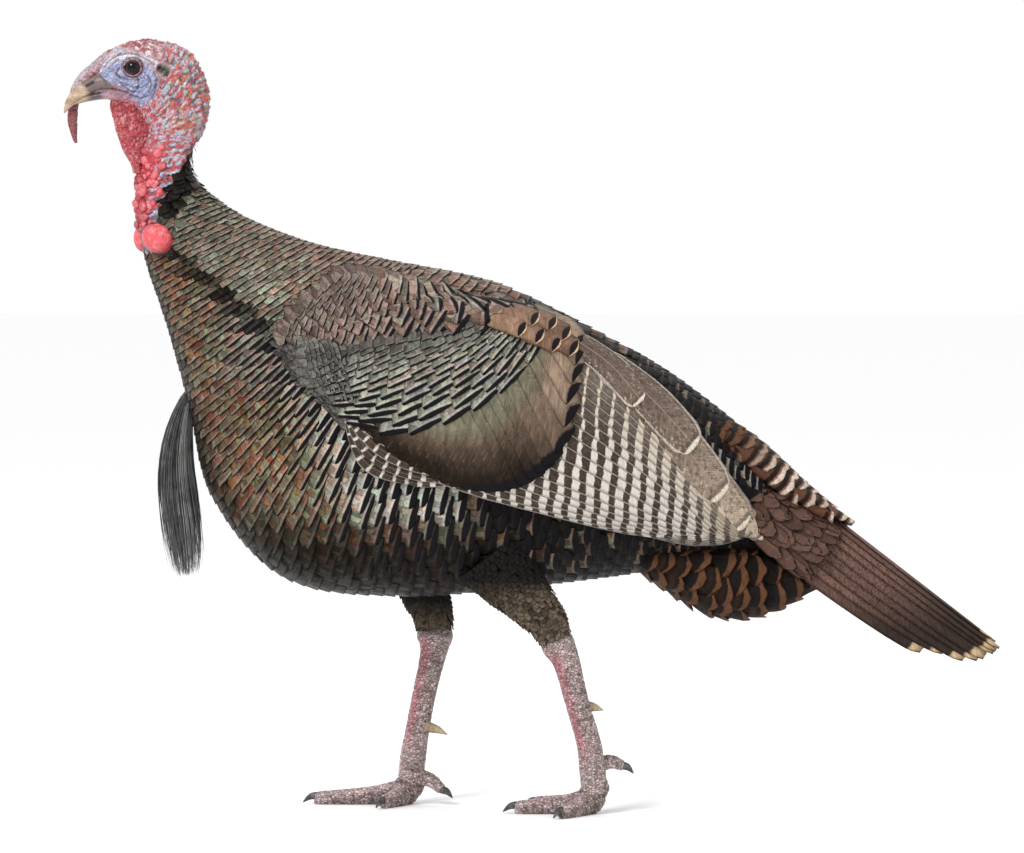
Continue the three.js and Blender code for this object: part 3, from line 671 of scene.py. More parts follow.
def scale_look(scute_pitch, front_share, length, rosy):
    """Scutes over the front of a leg or toe, and fine scales over the rest."""
    def look(points, share, turn, height, own):
        front = 1 - ramp(np.abs(np.abs(turn) - math.pi), front_share, front_share + 0.35)
        saw = (share * length / scute_pitch + 0.12 * np.cos(2 * turn)) % 1
        scute = np.where(saw < 0.16, saw / 0.16, 1 - 0.35 * (saw - 0.16))
        scuted = front * ramp(share, *rosy["scutes_from"])
        rise = 0.75 * scute * scuted + 0.75 * height * (1 - scuted)
        # Painted highlight and wear: the tops of the scales are paler, some more than others. The brown between
        # scales and scutes is painted shade.
        wear_and_shading = ramp(height, 0.15, 0.7) * (0.55 + 0.45 * ramp(own % 1, 0.2, 0.9))
        rosier = 0.35 * ramp(mottle(points, 16.0, 9), -0.6, 0.8) * ramp(height, 0.1, 0.4)
        plate = blend(SCALE_PINK, (0.6, 0.49, 0.48), ramp(own, 0.2, 1.0))
        plate = blend(SCALE_BROWN, plate, ramp(scute, 0.15, 0.6))
        stripe = np.exp(-((np.abs(np.abs(turn) - 2.35) / 0.5) ** 2)) * ramp(share, 0.42, 0.52)
        rose = stripe * (1 - ramp(share, 0.75, 0.92)) * (0.5 + 0.5 * ramp(height, 0.1, 0.5))
        # Painted shade where the leg runs up under the down of the thigh.
        thigh = 1 - ramp(share, *rosy["bare_from"])
        tucked = 5.0 + 12.0 * (1 - ramp(share, 0.0, 0.1))
        colour = layered(SCALE_BROWN, (SCALE_GREY, wear_and_shading), (SCALE_PINK, rosier), (plate, scuted),
                         (SCALE_ROSE, rosy["stripe"] * rose), (SHADE_UNDER_PLUMAGE, thigh))
        return rise * (1 - thigh) - tucked * thigh, colour
    return look


LEG_LOOK = {"scutes_from": (0.58, 0.66), "stripe": 0.8, "bare_from": (0.37, 0.47)}
TOE_LOOK = {"scutes_from": (-2, -1), "stripe": 0.0, "bare_from": (-2, -1)}
BALL_STEPS, BALL_SHARES = (0.97, 0.6, 0, -0.6, -0.97), (0.15, 0.8, 1, 0.8, 0.15)
for leg in LEGS.values():
    add_limb(leg_limb(leg), 150, 44, 31, scale_look(4.6, 0.75, 290, LEG_LOOK), (2.3, 1.7), 1)
    foot_y = leg["side"] * FOOT_SPREAD
    for (ball_x, ball_z), radii in ((leg["pad"], (15, 13, 14.5)), (leg["heel"], (8.5, 9, 12))):
        ball = tapered([(ball_x + radii[0] * k, foot_y, ball_z) for k in BALL_STEPS],
                       [radii[2] * k for k in BALL_SHARES], [radii[1] * k for k in BALL_SHARES])
        add_limb(ball, 22, 34, 33, scale_look(4.0, 0.6, 30, {**TOE_LOOK, "scutes_from": (2, 3)}), (2.2, 1.6),
                 1)
    for toe in (2, 3, 4):
        reach = toe_reach(leg, toe)
        path = [toe_point(leg, toe, reach * k / 3, TOE_HEIGHTS[k]) for k in range(4)]
        path.append(toe_point(leg, toe, reach + 2.5, 5.8))
        add_limb(tapered(path, TOE_DEPTH + [4.2], TOE_BREADTH + [3.6]), 56, 26, 34 + toe,
                 scale_look(3.1, 0.95, reach, TOE_LOOK), (2.0, 1.4), 1)
    path = [(px, foot_y - leg["side"] * (6 + 3 * i), pz) for i, (px, pz) in enumerate(leg["hallux"])]
    add_limb(tapered(path, [8, 6.6, 4.6], [7, 6, 4.4]), 34, 26, 39, scale_look(3.0, 0.95, 34, TOE_LOOK),
             (2.0, 1.4), 1)


class Sheet:
    """The node tree that nodes are now added to."""

    tree = None


def shade(name):
    """A new material and its shader, with its node tree as the one that nodes are added to."""
    material = bpy.data.materials.new(name)
    material.use_nodes = True
    Sheet.tree = material.node_tree
    return material, Sheet.tree.nodes["Principled BSDF"]


def wire(made, inputs):
    """Sets inputs of a node, each to a value or to another node's output."""
    for key, value in inputs.items():
        if isinstance(value, bpy.types.NodeSocket):
            Sheet.tree.links.new(value, made.inputs[key])
        else:
            made.inputs[key].default_value = value
    return made


def node(kind, inputs=None, **settings):
    """A new shader node with its settings and inputs."""
    made = Sheet.tree.nodes.new("ShaderNode" + kind)
    for key, value in settings.items():
        setattr(made, key, value)
    return wire(made, inputs or {})


def surface(shader, colour, roughness, gloss=0.5, relief=None, depth=0.0, strength=1.0):
    """What a material's shader shows: its colour, roughness and gloss, and the depth and strength of its
    relief."""
    wire(shader, {"Base Color": colour, "Roughness": roughness, "Specular IOR Level": gloss})
    if relief is not None:
        raised = node("Bump", {"Height": relief, "Distance": depth, "Strength": strength})
        wire(shader, {"Normal": raised.outputs[0]})


def maths(operation, *values):
    return node("Math", dict(enumerate(values)), operation=operation).outputs[0]


def times(first, second):
    return maths("MULTIPLY", first, second)


def times_plus(first, second, third):
    return maths("MULTIPLY_ADD", first, second, third)


def plus(first, second):
    return maths("ADD", first, second)


def minus(first, second):
    return maths("SUBTRACT", first, second)


def mixed(share, first, second, blend_type="MIX"):
    made = node("Mix", {0: share, 6: first, 7: second}, data_type="RGBA", blend_type=blend_type)
    return made.outputs[2]


def in_space():
    return node("TexCoord").outputs["Object"]


def cells(place, scale, **settings):
    """The cells of uneven plates at a place in space, in cells to the metre."""
    return node("TexVoronoi", {"Vector": place, "Scale": scale}, **settings).outputs


def noise(scale, detail=3.0, roughness=0.6, stretch=(1.0, 1.0, 1.0)):
    """Noise in the piece's own space, in features to the metre."""
    placed = node("Mapping", {"Vector": in_space(), "Scale": stretch}).outputs[0]
    inputs = {"Vector": placed, "Scale": scale, "Detail": detail, "Roughness": roughness}
    return node("TexNoise", inputs).outputs["Fac"]


def multiplied(*colours):
    product = colours[0]
    for colour in colours[1:]:
        product = mixed(1.0, product, colour, "MULTIPLY")
    return product


def tinted():
    return node("Attribute", attribute_name="tint").outputs["Color"]


def marked():
    values = node("Attribute", attribute_name="marks").outputs["Color"]
    return node("SeparateColor", {0: values})


def between(value, start, end, low=0.0, high=1.0):
    made = node("MapRange", {0: value, 1: start, 2: end, 3: low, 4: high},
                interpolation_type="SMOOTHSTEP")
    return made.outputs[0]


# Bare skin is moist and finely creased, and its red flesh is granular.
bare_skin, shader = shade("bare_skin")
marks = marked()
swollen = marks.outputs[1]
grains = cells(in_space(), 620.0)["Distance"]
grain_share = times(marks.outputs[0], 0.5)
# Each grain is lighter in its middle, partly its own pale colour and partly painted highlight, and darker at its rim
# as painted shade.
grain_tone = mixed(grain_share, (1, 1, 1, 1), between(grains, 0.1, 0.7, 1.25, 0.55))
toned = multiplied(tinted(), grain_tone)
crease = between(cells(in_space(), 330.0, feature="DISTANCE_TO_EDGE")["Distance"], 0.0, 0.16)
tight = minus(1.0, swollen)
# Painted shade along the fine creases.
crease_shaded = mixed(tight, toned, multiplied(toned, between(crease, 0.0, 1.0, 0.74, 1.0)))
blotch = between(noise(420.0, 4.0), 0.3, 0.7, 0.78, 1.18)
dull = between(noise(900.0), 0.3, 0.7, 0.4, 0.6)
skin_height = times_plus(crease, 0.8, noise(700.0, 5.0, 0.65))
skin_height = times_plus(grains, -0.9, skin_height)
skin_height = times(skin_height, between(swollen, 0.0, 1.0, 1.0, 0.3))
moist = times(dull, between(swollen, 0.0, 1.0, 1.0, 0.62))
surface(shader, multiplied(crease_shaded, blotch), moist, 0.4, skin_height, 0.0007, 0.8)
wire(shader, {"Subsurface Weight": 0.12, "Subsurface Radius": (0.004, 0.0015, 0.0012)})

# The horny scales of the legs are drier, worn pale in places, with painted shade in the grooves between the plates.
leg_scales, shader = shade("leg_scales")
stretched = {0: in_space(), 1: (1.0, 1.0, 1.55)}
space = node("VectorMath", stretched, operation="MULTIPLY").outputs[0]
SCALES_TO_METRE = 290.0
plate = between(cells(space, SCALES_TO_METRE, feature="DISTANCE_TO_EDGE")["Distance"], 0.01, 0.16)
plate_pick = node("SeparateColor", {0: cells(space, SCALES_TO_METRE)["Color"]}).outputs[0]
own_tone = between(plate_pick, 0, 1, 0.8, 1.45)
# Painted shade: each plate darkens towards its rim, in the groove between plates.
scaled_tone = times(own_tone, between(plate, 0.0, 1.0, 0.38, 1.0))
wear_and_shading = times(scaled_tone, between(noise(1100.0, 4.0), 0.35, 0.7, 0.9, 1.15))
dull = between(noise(800.0), 0.3, 0.7, 0.38, 0.62)
surface(shader, multiplied(tinted(), wear_and_shading), dull, relief=plate, depth=0.0006, strength=0.9)

flesh_points = np.concatenate(flesh.points)
skin_piece = new_piece("skin", flesh_points, flesh.faces, [bare_skin, leg_scales],
                       np.concatenate(flesh.colours),
                       np.concatenate(flesh.marks), slots=flesh.slots)
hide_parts("head", "neck", "trunk", "snood", "dewlap", "caruncles", "caruncle_lobe_left",
            "caruncle_lobe_right",
            *[f"{part}_{side}" for part in ("thigh", "shank", "foot") for side in LEGS])

# ---- the eyes
# Each eye is a dark brown, glossy ball, sunk between fleshy lids. The ball is glass in a mounted bird, its
# iris painted behind; the lids are rims of purple skin.

eye_gloss, shader = shade("eye_glass")
surface(shader, tinted(), 0.08, 0.22)
lid_skin, shader = shade("lid_skin")
lid_tone = between(noise(900.0, 4.0), 0.3, 0.7, 0.75, 1.3)
surface(shader, multiplied(tinted(), lid_tone), 0.38, 0.5, noise(1200.0, 4.0), 0.0004, 0.6)

PUPIL_RADIUS, IRIS_RADIUS = 5.4, 7.6
RIM_STEPS, RIM_SIDES = 64, 12
RIM_RADIUS = 8.2
EYE_BLACK, IRIS_BROWN, IRIS_EDGE = (0.001, 0.001, 0.001), (0.034, 0.013, 0.007), (0.004, 0.002, 0.002)
for name, side in (("left", LEFT), ("right", RIGHT)):
    polar, turn = grid_of(np.linspace(0.02, math.pi - 0.02, 40),
                          np.linspace(0, 2 * math.pi, 48, endpoint=False))
    turn = turn * side
    ball = np.stack([np.sin(polar) * np.cos(turn), side * np.cos(polar), np.sin(polar) * np.sin(turn)], -1)
    points, faces = tube(ball * EYE_RADIUS + (EYE_X, side * EYE_Y, EYE_Z))
    off = np.hypot(points[:, 0] - EYE_X, points[:, 2] - EYE_Z)
    colours = layered(IRIS_BROWN, (EYE_BLACK, 1 - ramp(off, PUPIL_RADIUS - 0.3, PUPIL_RADIUS + 0.3)),
                      (IRIS_EDGE, ramp(off, IRIS_RADIUS - 1, IRIS_RADIUS + 0.4)))
    eye = new_piece(f"eye_ball_{name}", points, faces, [eye_gloss], colours)
    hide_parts(f"eye_{name}")

    around, tube_turn = grid_of(np.linspace(0, 2 * math.pi, RIM_STEPS, endpoint=False),
                                    np.linspace(0, 2 * math.pi, RIM_SIDES, endpoint=False))
    upper = np.clip(np.sin(around), 0, 1)
    corner = np.exp(-(((np.mod(around, 2 * math.pi) - math.pi) / 0.3) ** 2))
    reach_x, reach_z = LID_OPENING + 0.6 + 1.8 * corner, LID_OPENING + 0.1 - 0.4 * upper
    thick = 1.0 + 0.35 * upper
    across = reach_x + thick * np.cos(tube_turn)
    height = reach_z + thick * np.cos(tube_turn)
    ball_y = EYE_Y + np.sqrt(EYE_RADIUS**2 - RIM_RADIUS**2) + 0.5 + 0.3 * upper
    rim = np.stack([EYE_X + across * np.cos(around) - 0.6 * np.cos(around) ** 2 * np.sign(np.cos(around)),
                    side * (ball_y + thick * np.sin(tube_turn)), EYE_Z + height * np.sin(around)], -1)
    r, c = grid_of(np.arange(RIM_STEPS), np.arange(RIM_SIDES))
    next_r, next_c = (r + 1) % RIM_STEPS * RIM_SIDES, (c + 1) % RIM_SIDES
    a, b, a2, b2 = r * RIM_SIDES + c, r * RIM_SIDES + next_c, next_r + c, next_r + next_c
    quads = np.stack([a, b, b2, a2] if side == RIGHT else [a, a2, b2, b], -1).reshape(-1, 4)
    tone = blend((0.13, 0.065, 0.09), (0.3, 0.17, 0.22), ramp(mottle(rim, 4.0, 3), -0.5, 0.8))
    lids = new_piece(f"lid_rim_{name}", rim.reshape(-1, 3), [quads], [lid_skin], tone.reshape(-1, 3))

# ---- the bill
# Two horny sheaths: the upper is hooked over the lower, and at its root is a soft grey cere with a slit
# nostril.

UPPER_BILL = tapered([(-416, 0, 728), (-430, 0, 728), (-443, 0, 723), (-453, 0, 716), (-461.8, 0, 706.5),
                      (-466.5, 0, 697)], [9, 9.4, 8.4, 6.9, 4.3, 0.5], [13, 12, 10, 7.5, 4.2, 0.5])
LOWER_BILL = tapered([(-404, 0, 713), (-425, 0, 715), (-443, 0, 711.5), (-458, 0, 705.5)],
                     [5.5, 4.6, 3.2, 0.9], [12, 10, 7, 1.8])
HORN_TAN, HORN_PALE, HORN_DARK = (0.34, 0.23, 0.15), (0.52, 0.39, 0.27), (0.1, 0.07, 0.06)
NOSTRIL = [(-443, 724.0), (-437.5, 727.2)]

horn, shader = shade("bill_horn")
grain = noise(160.0, 5.0, 0.6, (1.0, 6.0, 6.0))
toned = multiplied(tinted(), between(grain, 0.3, 0.7, 0.75, 1.25))
dull = between(noise(500.0), 0.3, 0.7, 0.3, 0.5)
surface(shader, toned, dull, relief=grain, depth=0.0005, strength=0.5)


def horn_piece(name, limb, rows, columns, colour, replaces, shape=None):
    """A horny piece along a path, with a colour worked out at each point."""
    share, turn = tube_grid(rows, columns)
    points = limb_point(limb, share, turn)
    if shape is not None:
        points = points + outward(points) * shape(points, share, turn)[..., None]
    flat, faces = tube(points)
    piece = new_piece(name, flat, faces, [horn], with_ends(colour(points, share, turn)))
    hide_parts(replaces)


def off_nostril(points):
    return path_distance(points[..., 0], points[..., 2], NOSTRIL)


def upper_shape(points, share, turn):
    nostril = np.exp(-((off_nostril(points) / 1.5) ** 2))
    ridge = 0.7 * np.exp(-((off_nostril(points) - 3.0) / 1.1) ** 2)
    edge = np.exp(-(((np.abs(turn) - 2.45) / 0.16) ** 2)) * ramp(share, 0.1, 0.3)
    return -2.2 * nostril + ridge * ramp(np.abs(points[..., 1]), 1.5, 4) + 0.5 * edge


def upper_colour(points, share, turn):
    # The nostril's slit is near black, as painted shade in its hollow.
    return layered(HORN_TAN, (HORN_PALE, ramp(mottle(points * (0.4, 1, 1), 12.0, 4), -0.6, 0.7)),
                   (HORN_DARK, 0.45 * ramp(share, 0.8, 1.0)),
                   (CERE_BROWN, ramp(points[..., 0] + 0.9 * (points[..., 2] - 722), -449, -443)),
                   ((0.008, 0.006, 0.006), np.exp(-((off_nostril(points) / 1.5) ** 2))))


def lower_colour(points, share, turn):
    # Painted shade: the top of the lower bill is darkened where the upper bill overhangs it.
    return layered((0.37, 0.2, 0.24), ((0.07, 0.05, 0.05), ramp(share, 0.32, 0.45)),
                   ((0.4, 0.3, 0.19), ramp(share, 0.55, 0.75)),
                   (HORN_DARK, 0.6 * ramp(np.cos(turn), 0.3, 0.8) * ramp(share, 0.3, 0.5)))


horn_piece("bill_sheath_upper", UPPER_BILL, 100, 72, upper_colour, "bill_upper", upper_shape)
horn_piece("bill_sheath_lower", LOWER_BILL, 60, 48, lower_colour, "bill_lower")

# ---- the claws and spurs
# Each claw is a curved, blunt, dark grey horn out of the end of its toe. Each spur is a tan, pointed cone
# behind the lower leg, ringed at its root.

CLAW_GREY, CLAW_WORN = (0.035, 0.035, 0.04), (0.11, 0.1, 0.1)


def claw_colour(points, share, turn):
    return blend(CLAW_GREY, CLAW_WORN,
                 ramp(mottle(points, 6.0, 2), 0.1, 0.9) + 0.3 * (1 - ramp(share, 0.1, 0.3)))


def spur_colour(points, share, turn):
    rings = 0.5 + 0.5 * np.sin(share * 34)
    return blend(blend((0.3, 0.22, 0.13), (0.5, 0.39, 0.24), ramp(share, 0.2, 0.8)), HORN_DARK, 0.25 * rings)


for name, leg in LEGS.items():
    side, foot_y = leg["side"], leg["side"] * FOOT_SPREAD
    (end_x, end_z), (tip_x, tip_z) = leg["hallux"][-1], leg["hallux_tip"]
    claw_paths = {1: [(end_x, foot_y - side * 12, end_z),
                      ((end_x + tip_x) / 2, foot_y - side * 13.5, (end_z + tip_z) / 2 + 2),
                      (tip_x, foot_y - side * 15, tip_z)]}
    for toe in (2, 3, 4):
        reach = toe_reach(leg, toe)
        claw_paths[toe] = [toe_point(leg, toe, reach - CLAW_ROOT, 8.5),
                           toe_point(leg, toe, reach + CLAW_LENGTH / 2, 8),
                           toe_point(leg, toe, reach + CLAW_LENGTH, 2.2)]
    for toe, path in claw_paths.items():
        claw = tapered(path, [4.2, 3.4, 0.6], [3.5, 2.7, 0.5])
        horn_piece(f"claw_horn_{toe}_{name}", claw, 26, 24, claw_colour, f"claw_{toe}_{name}")
    spur_path = [(px, leg_spread(leg, pz) - side * (4 + 2.5 * i), pz) for i,
                 (px, pz) in enumerate(leg["spur"])]
    spur = tapered(spur_path, [6, 4.2, 0.5], [5, 3.6, 0.5])
    horn_piece(f"spur_horn_{name}", spur, 30, 28, spur_colour, f"spur_{name}")

# ---- body plumage
# Contour feathers lie like tiles from the neck to the rump, in rows across the bird. Each is a thin,
# square-ended vane rooted in the skin under the row ahead, bronze or green with a velvet black tip.

BLACK_TIP = (0.006, 0.005, 0.006)
NECK_OLIVE = (0.22, 0.195, 0.145)
NAPE_BLACK = (0.022, 0.02, 0.017)
BACK_COPPER = (0.25, 0.125, 0.09)
BREAST_COPPER = (0.24, 0.092, 0.038)
GOLD_GREEN = (0.19, 0.158, 0.072)
PALE_GREEN = (0.46, 0.46, 0.37)
VIOLET_GREY = (0.235, 0.215, 0.205)
BELLY_BLACK_AND_SHADE = (0.013, 0.009, 0.006)
RUMP_BLACK = (0.014, 0.013, 0.013)
BRONZE = (0.26, 0.125, 0.055)

VANE_STATIONS = np.array([0, 0.2, 0.4, 0.58, 0.73, 0.84, 0.92, 0.97, 1.0])
VANE_COLUMNS = np.array([-1, -0.7, -0.35, 0, 0.35, 0.7, 1.0])
VANE_OUTLINE = ([0, 0.25, 0.5, 0.85, 0.93, 0.97, 1.0], [0.3, 0.75, 1.0, 1.0, 0.97, 0.93, 0.84])
VANE_THICKNESS = 0.22
OFBAKE_PATCH = 0.003
ARC_STEPS = 181  # in measuring a row of feathers round the body


def each_vane(values, count=None):
    """One value, or one to each vane, set out to meet the grid of points of every vane."""
    values = np.asarray(values, float)
    return (values if count is None else np.broadcast_to(values, (count,)))[:, None, None]


def vane_mesh(name, top, roots, size, tints, marks, material, replaces=()):
    """Closed thin vanes from the grids of their upper faces, with their UV maps: share, size and root on the
    skin."""
    count, rows, columns = top.shape[:3]
    normal = unit(np.cross(np.gradient(top, axis=1), np.gradient(top, axis=2)))
    under = (top - normal * VANE_THICKNESS)[:, 1:-1, 1:-1]
    points = np.concatenate([top.reshape(count, -1, 3), under.reshape(count, -1, 3)], 1)
    upper_id = np.arange(rows * columns).reshape(rows, columns)
    under_id = upper_id.copy()
    under_id[1:-1, 1:-1] = rows * columns + np.arange(
        (rows - 2) * (columns - 2)).reshape(rows - 2, columns - 2)
    face = np.concatenate([
        np.stack([upper_id[:-1, :-1], upper_id[1:, :-1], upper_id[1:, 1:], upper_id[:-1, 1:]],
                 -1).reshape(-1, 4),
        np.stack([under_id[:-1, :-1], under_id[:-1, 1:], under_id[1:, 1:], under_id[1:, :-1]],
                 -1).reshape(-1, 4),
    ])
    each = points.shape[1]
    faces = (np.arange(count)[:, None, None] * each + face).reshape(-1, 4)
    length, half, s, t = size

    def both(values):
        values = np.broadcast_to(values, (count, rows, columns))
        return np.concatenate([values.reshape(count, -1), values[:, 1:-1, 1:-1].reshape(count, -1)],
                              1).ravel()

    def spread(values):
        if values.ndim == 2:
            values = values[:, None, None]
        return np.stack([both(values[..., k]) for k in range(3)], -1)

    share_s, share_t = both(s), both(t)
    maps = {
        "OFBake": np.stack([both(each_vane(roots[0])) + share_t * OFBAKE_PATCH / 2,
                            both(each_vane(roots[1])) + (share_s - 0.5) * OFBAKE_PATCH], -1),
        "Vane": np.stack([share_t / 2 + 0.5, share_s], -1),
        "VaneSize": np.stack([share_t * both(each_vane(half)), share_s * both(each_vane(length))], -1) / 100,
    }
    piece = new_piece(name, points.reshape(-1, 3), [faces], [material], spread(tints), spread(marks), maps)
    if replaces:
        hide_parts(*replaces)


def coat_rows(place, first, last, spacing, width, seed, turns=(-math.pi, math.pi)):
    """The ring and turn of the tip of each feather between two rings, in rows across the body."""
    rng = np.random.default_rng(seed)
    around = np.linspace(*turns, ARC_STEPS)
    us, spins, gaps, widths = [], [], [], []
    u, row = first, 0
    while u < last:
        speed_u, speed_turn = speed_of(place, np.full(ARC_STEPS, u), around, 0.02 * (last - first) / 10)
        arc = np.concatenate([[0], np.cumsum((speed_turn[1:] + speed_turn[:-1]) / 2 * np.diff(around))])
        across = width(u)
        number = int(arc[-1] / across)
        at = (np.arange(number) + 0.382 * row + rng.uniform(-0.15, 0.15, number)) * arc[-1] / number
        spin = np.interp(at % arc[-1], arc, around)
        step = spacing(u) / speed_u.max()
        local = np.interp(spin, around, speed_u) * step
        every = np.clip(np.round(spacing(u) / local), 1, 4).astype(int)
        kept = row % every == 0
        us.append(u + rng.uniform(-0.06, 0.06, number)[kept] * step)
        spins.append(spin[kept])
        gaps.append((local * every)[kept])
        widths.append(np.full(kept.sum(), arc[-1] / number))
        u += step
        row += 1
    return [np.concatenate(values) for values in (us, spins, gaps, widths)]


def speed_of(place, u, turn, u_step=0.02):
    """Millimetres to one step of u and to one radian at points of a shape."""
    along_u = np.linalg.norm(place(u + u_step, turn, 0) - place(u - u_step, turn, 0), axis=-1) / (2 * u_step)
    along_turn = np.linalg.norm(place(u, turn + 0.02, 0) - place(u, turn - 0.02, 0), axis=-1) / 0.04
    return along_u, along_turn


def coat_vanes(place, u, turn, length, half, depth, lift, camber, seed, stations=VANE_STATIONS,
               columns=VANE_COLUMNS, outline=VANE_OUTLINE, stray=0.05, u_step=0.02, bow=0.0, slant=0.0):
    """The upper faces of vanes whose tips are at the given places, u along a shape and turn round it. Their
    ends are bowed and slanted by as many millimetres."""
    rng = np.random.default_rng(seed)
    count = len(u)
    s, t = grid_of(stations, columns)
    s, t = s[None], t[None]
    speed_u, speed_turn = speed_of(place, u, turn, u_step)
    profile = np.interp(s, *outline)
    ragged = rng.uniform(-0.03, 0.015, (count,) + s.shape[1:]) * (s > 0.9)
    towards_back = -each_vane(np.sign(turn)) * t
    bow, slant = each_vane(bow, count), each_vane(slant, count)
    behind = (1 - s - ragged) * each_vane(length) + bow * t**2 + slant * towards_back
    where_u = each_vane(u) - behind / each_vane(speed_u)
    swing = rng.normal(0, stray, count) * length / speed_turn
    where_turn = each_vane(turn) + profile * t * each_vane(half / speed_turn) + each_vane(swing) * s
    roll = each_vane(rng.uniform(0.1, 0.3, count))
    rise = each_vane(lift) - each_vane(depth) * (1 - s) - roll * towards_back - each_vane(camber) * t**2
    rise = rise + each_vane(rng.uniform(-0.2, 0.2, count))
    rise = rise - fold_drop(place(where_u, where_turn, 0))
    return place(where_u, where_turn, rise), s, t


WING_SHOULDER, WING_TIP = np.array([-244.0, 466.0]), np.array([238.0, 276.0])
WING_UPPER, WING_LOWER = [0, 88, 119, 116, 82, 0], [0, 66, 80, 60, 38, 0]
WING_DEPTH, WING_EDGE = [8, 19, 22, 20, 14, 7], 2.5


def wing_place(x, z):
    """Where side view shows a point on the folded wing: along it, and from -1 at its lower edge to 1 at its
    upper."""
    reach = WING_TIP - WING_SHOULDER
    length = np.hypot(*reach)
    ahead, upward = reach / length, np.array([-reach[1], reach[0]]) / length
    away = np.stack([x, z], -1) - WING_SHOULDER
    share = np.clip(away @ ahead / length, 0, 1)
    off = away @ upward
    edge = np.where(off > 0, along(WING_UPPER, share), along(WING_LOWER, share))
    return share, off / np.maximum(edge, 4.0)


def wing_rise(x, z):
    """How far the folded wing stands out from the body."""
    share, place = wing_place(x, z)
    crown_share = np.sqrt(np.clip(1 - np.abs(np.clip(place, -1, 1)) ** 3, 0, 1))
    return WING_EDGE + (along(WING_DEPTH, share) - WING_EDGE) * crown_share


def body_look(u, turn, rng):
    """The colour of body feathers by their place, and how their black tips begin."""
    at = body_point(u, turn)
    x, z = at[:, 0], at[:, 2]
    above = np.cos(turn)
    fold = np.interp(x, [p[0] for p in BREAST_FOLD], [p[1] for p in BREAST_FOLD])
    upper = ramp(z - fold, -4, 10)
    rear = ramp(x + 0.45 * (z - 350), -235, -165) * ramp(z, 268, 325)
    breast = layered(BREAST_COPPER, (GOLD_GREEN, ramp(mottle(at, 42.0, 2), -0.5, 0.7)),
                     (PALE_GREEN, 0.8 * rear),
                     (VIOLET_GREY, 0.7 * ramp(z, 400, 450) * ramp(x, -330, -280)))
    breast = breast * (1 + rear[:, None] * np.array([0.3, 0.4, 0.55]))
    front = ramp(-(x + 0.3 * (z - 400)), 262, 305) * ramp(-z, -440, -410)
    breast = breast * (1 - front[:, None] * np.array([0.1, 0.2, 0.19]))
    # The belly's own black deepens towards the bottom as painted shade, and the downward-facing underside gets more
    # painted shade.
    breast = layered(breast, (BELLY_BLACK_AND_SHADE, 0.95 * ramp(-z, -318, -258)),
                     ((0.03, 0.022, 0.015), ramp(-above, 0.86, 0.98)))
    back = layered(NECK_OLIVE, (BACK_COPPER, ramp(x + 0.9 * (z - 520), -270, -150)),
                   (PALE_GREEN, 0.35 * ramp(mottle(at, 45.0, 9), 0.0, 0.9)),
                   (VIOLET_GREY, 0.35 * ramp(-z, -500, -465)))
    nape_edge = np.interp(z, [550, 592, 602, 622, 650], [-372, -355, -344, -330, -320])
    nape = (1 - ramp(x - nape_edge, -6, 6)) * ramp(z, 540, 562)
    flank = ramp(x + 0.25 * (z - 260), -55, -25) * (1 - ramp(above, 0.2, 0.5))
    rump = ramp(x, -30, 25) * ramp(above, 0.2, 0.6)
    colour = layered(breast, (back, upper), (NAPE_BLACK, nape), (RUMP_BLACK, flank), (RUMP_BLACK, rump))
    hue = rng.uniform(size=len(u))
    fresh = 0.35 * rng.uniform(size=len(u)) ** 1.5 * (1 - 0.6 * np.maximum(flank, rump))
    accent = np.select([(hue < 0.3)[:, None], (hue < 0.55)[:, None], (hue < 0.72)[:, None]],
                       [np.array([0.3, 0.115, 0.055]), np.array([0.15, 0.18, 0.1]),
                        np.array([0.24, 0.17, 0.155])],
                       np.array([0.16, 0.15, 0.115]))
    bright = colour.mean(-1) / 0.14
    colour = blend(colour, accent * np.clip(bright, 0.05, 1.3)[:, None], fresh * (1 - 0.9 * nape))
    glint = (rng.uniform(size=len(u)) < 0.3) * rng.uniform(0.1, 0.7, len(u)) * np.maximum(flank, rump)
    colour = blend(colour, BRONZE, glint)
    # Painted shade in the fold between neck and breast.
    colour = colour * (1 - 0.85 * np.exp(-((path_distance(x, z, BREAST_FOLD) / 9.0) ** 2)))[:, None]
    colour = colour * (rng.uniform(0.85, 1.1, len(u)) * (0.92 + 0.12 * mottle(at, 30.0, 14)))[:, None]
    band = (1.35 + 5.2 * ramp(x + 0.55 * (z - 300), -250, -95) * (1 - upper)
            + 0.5 * upper * ramp(x, -260, -160))
    return colour, band


BARB_PITCH = 0.0095  # in decimetres


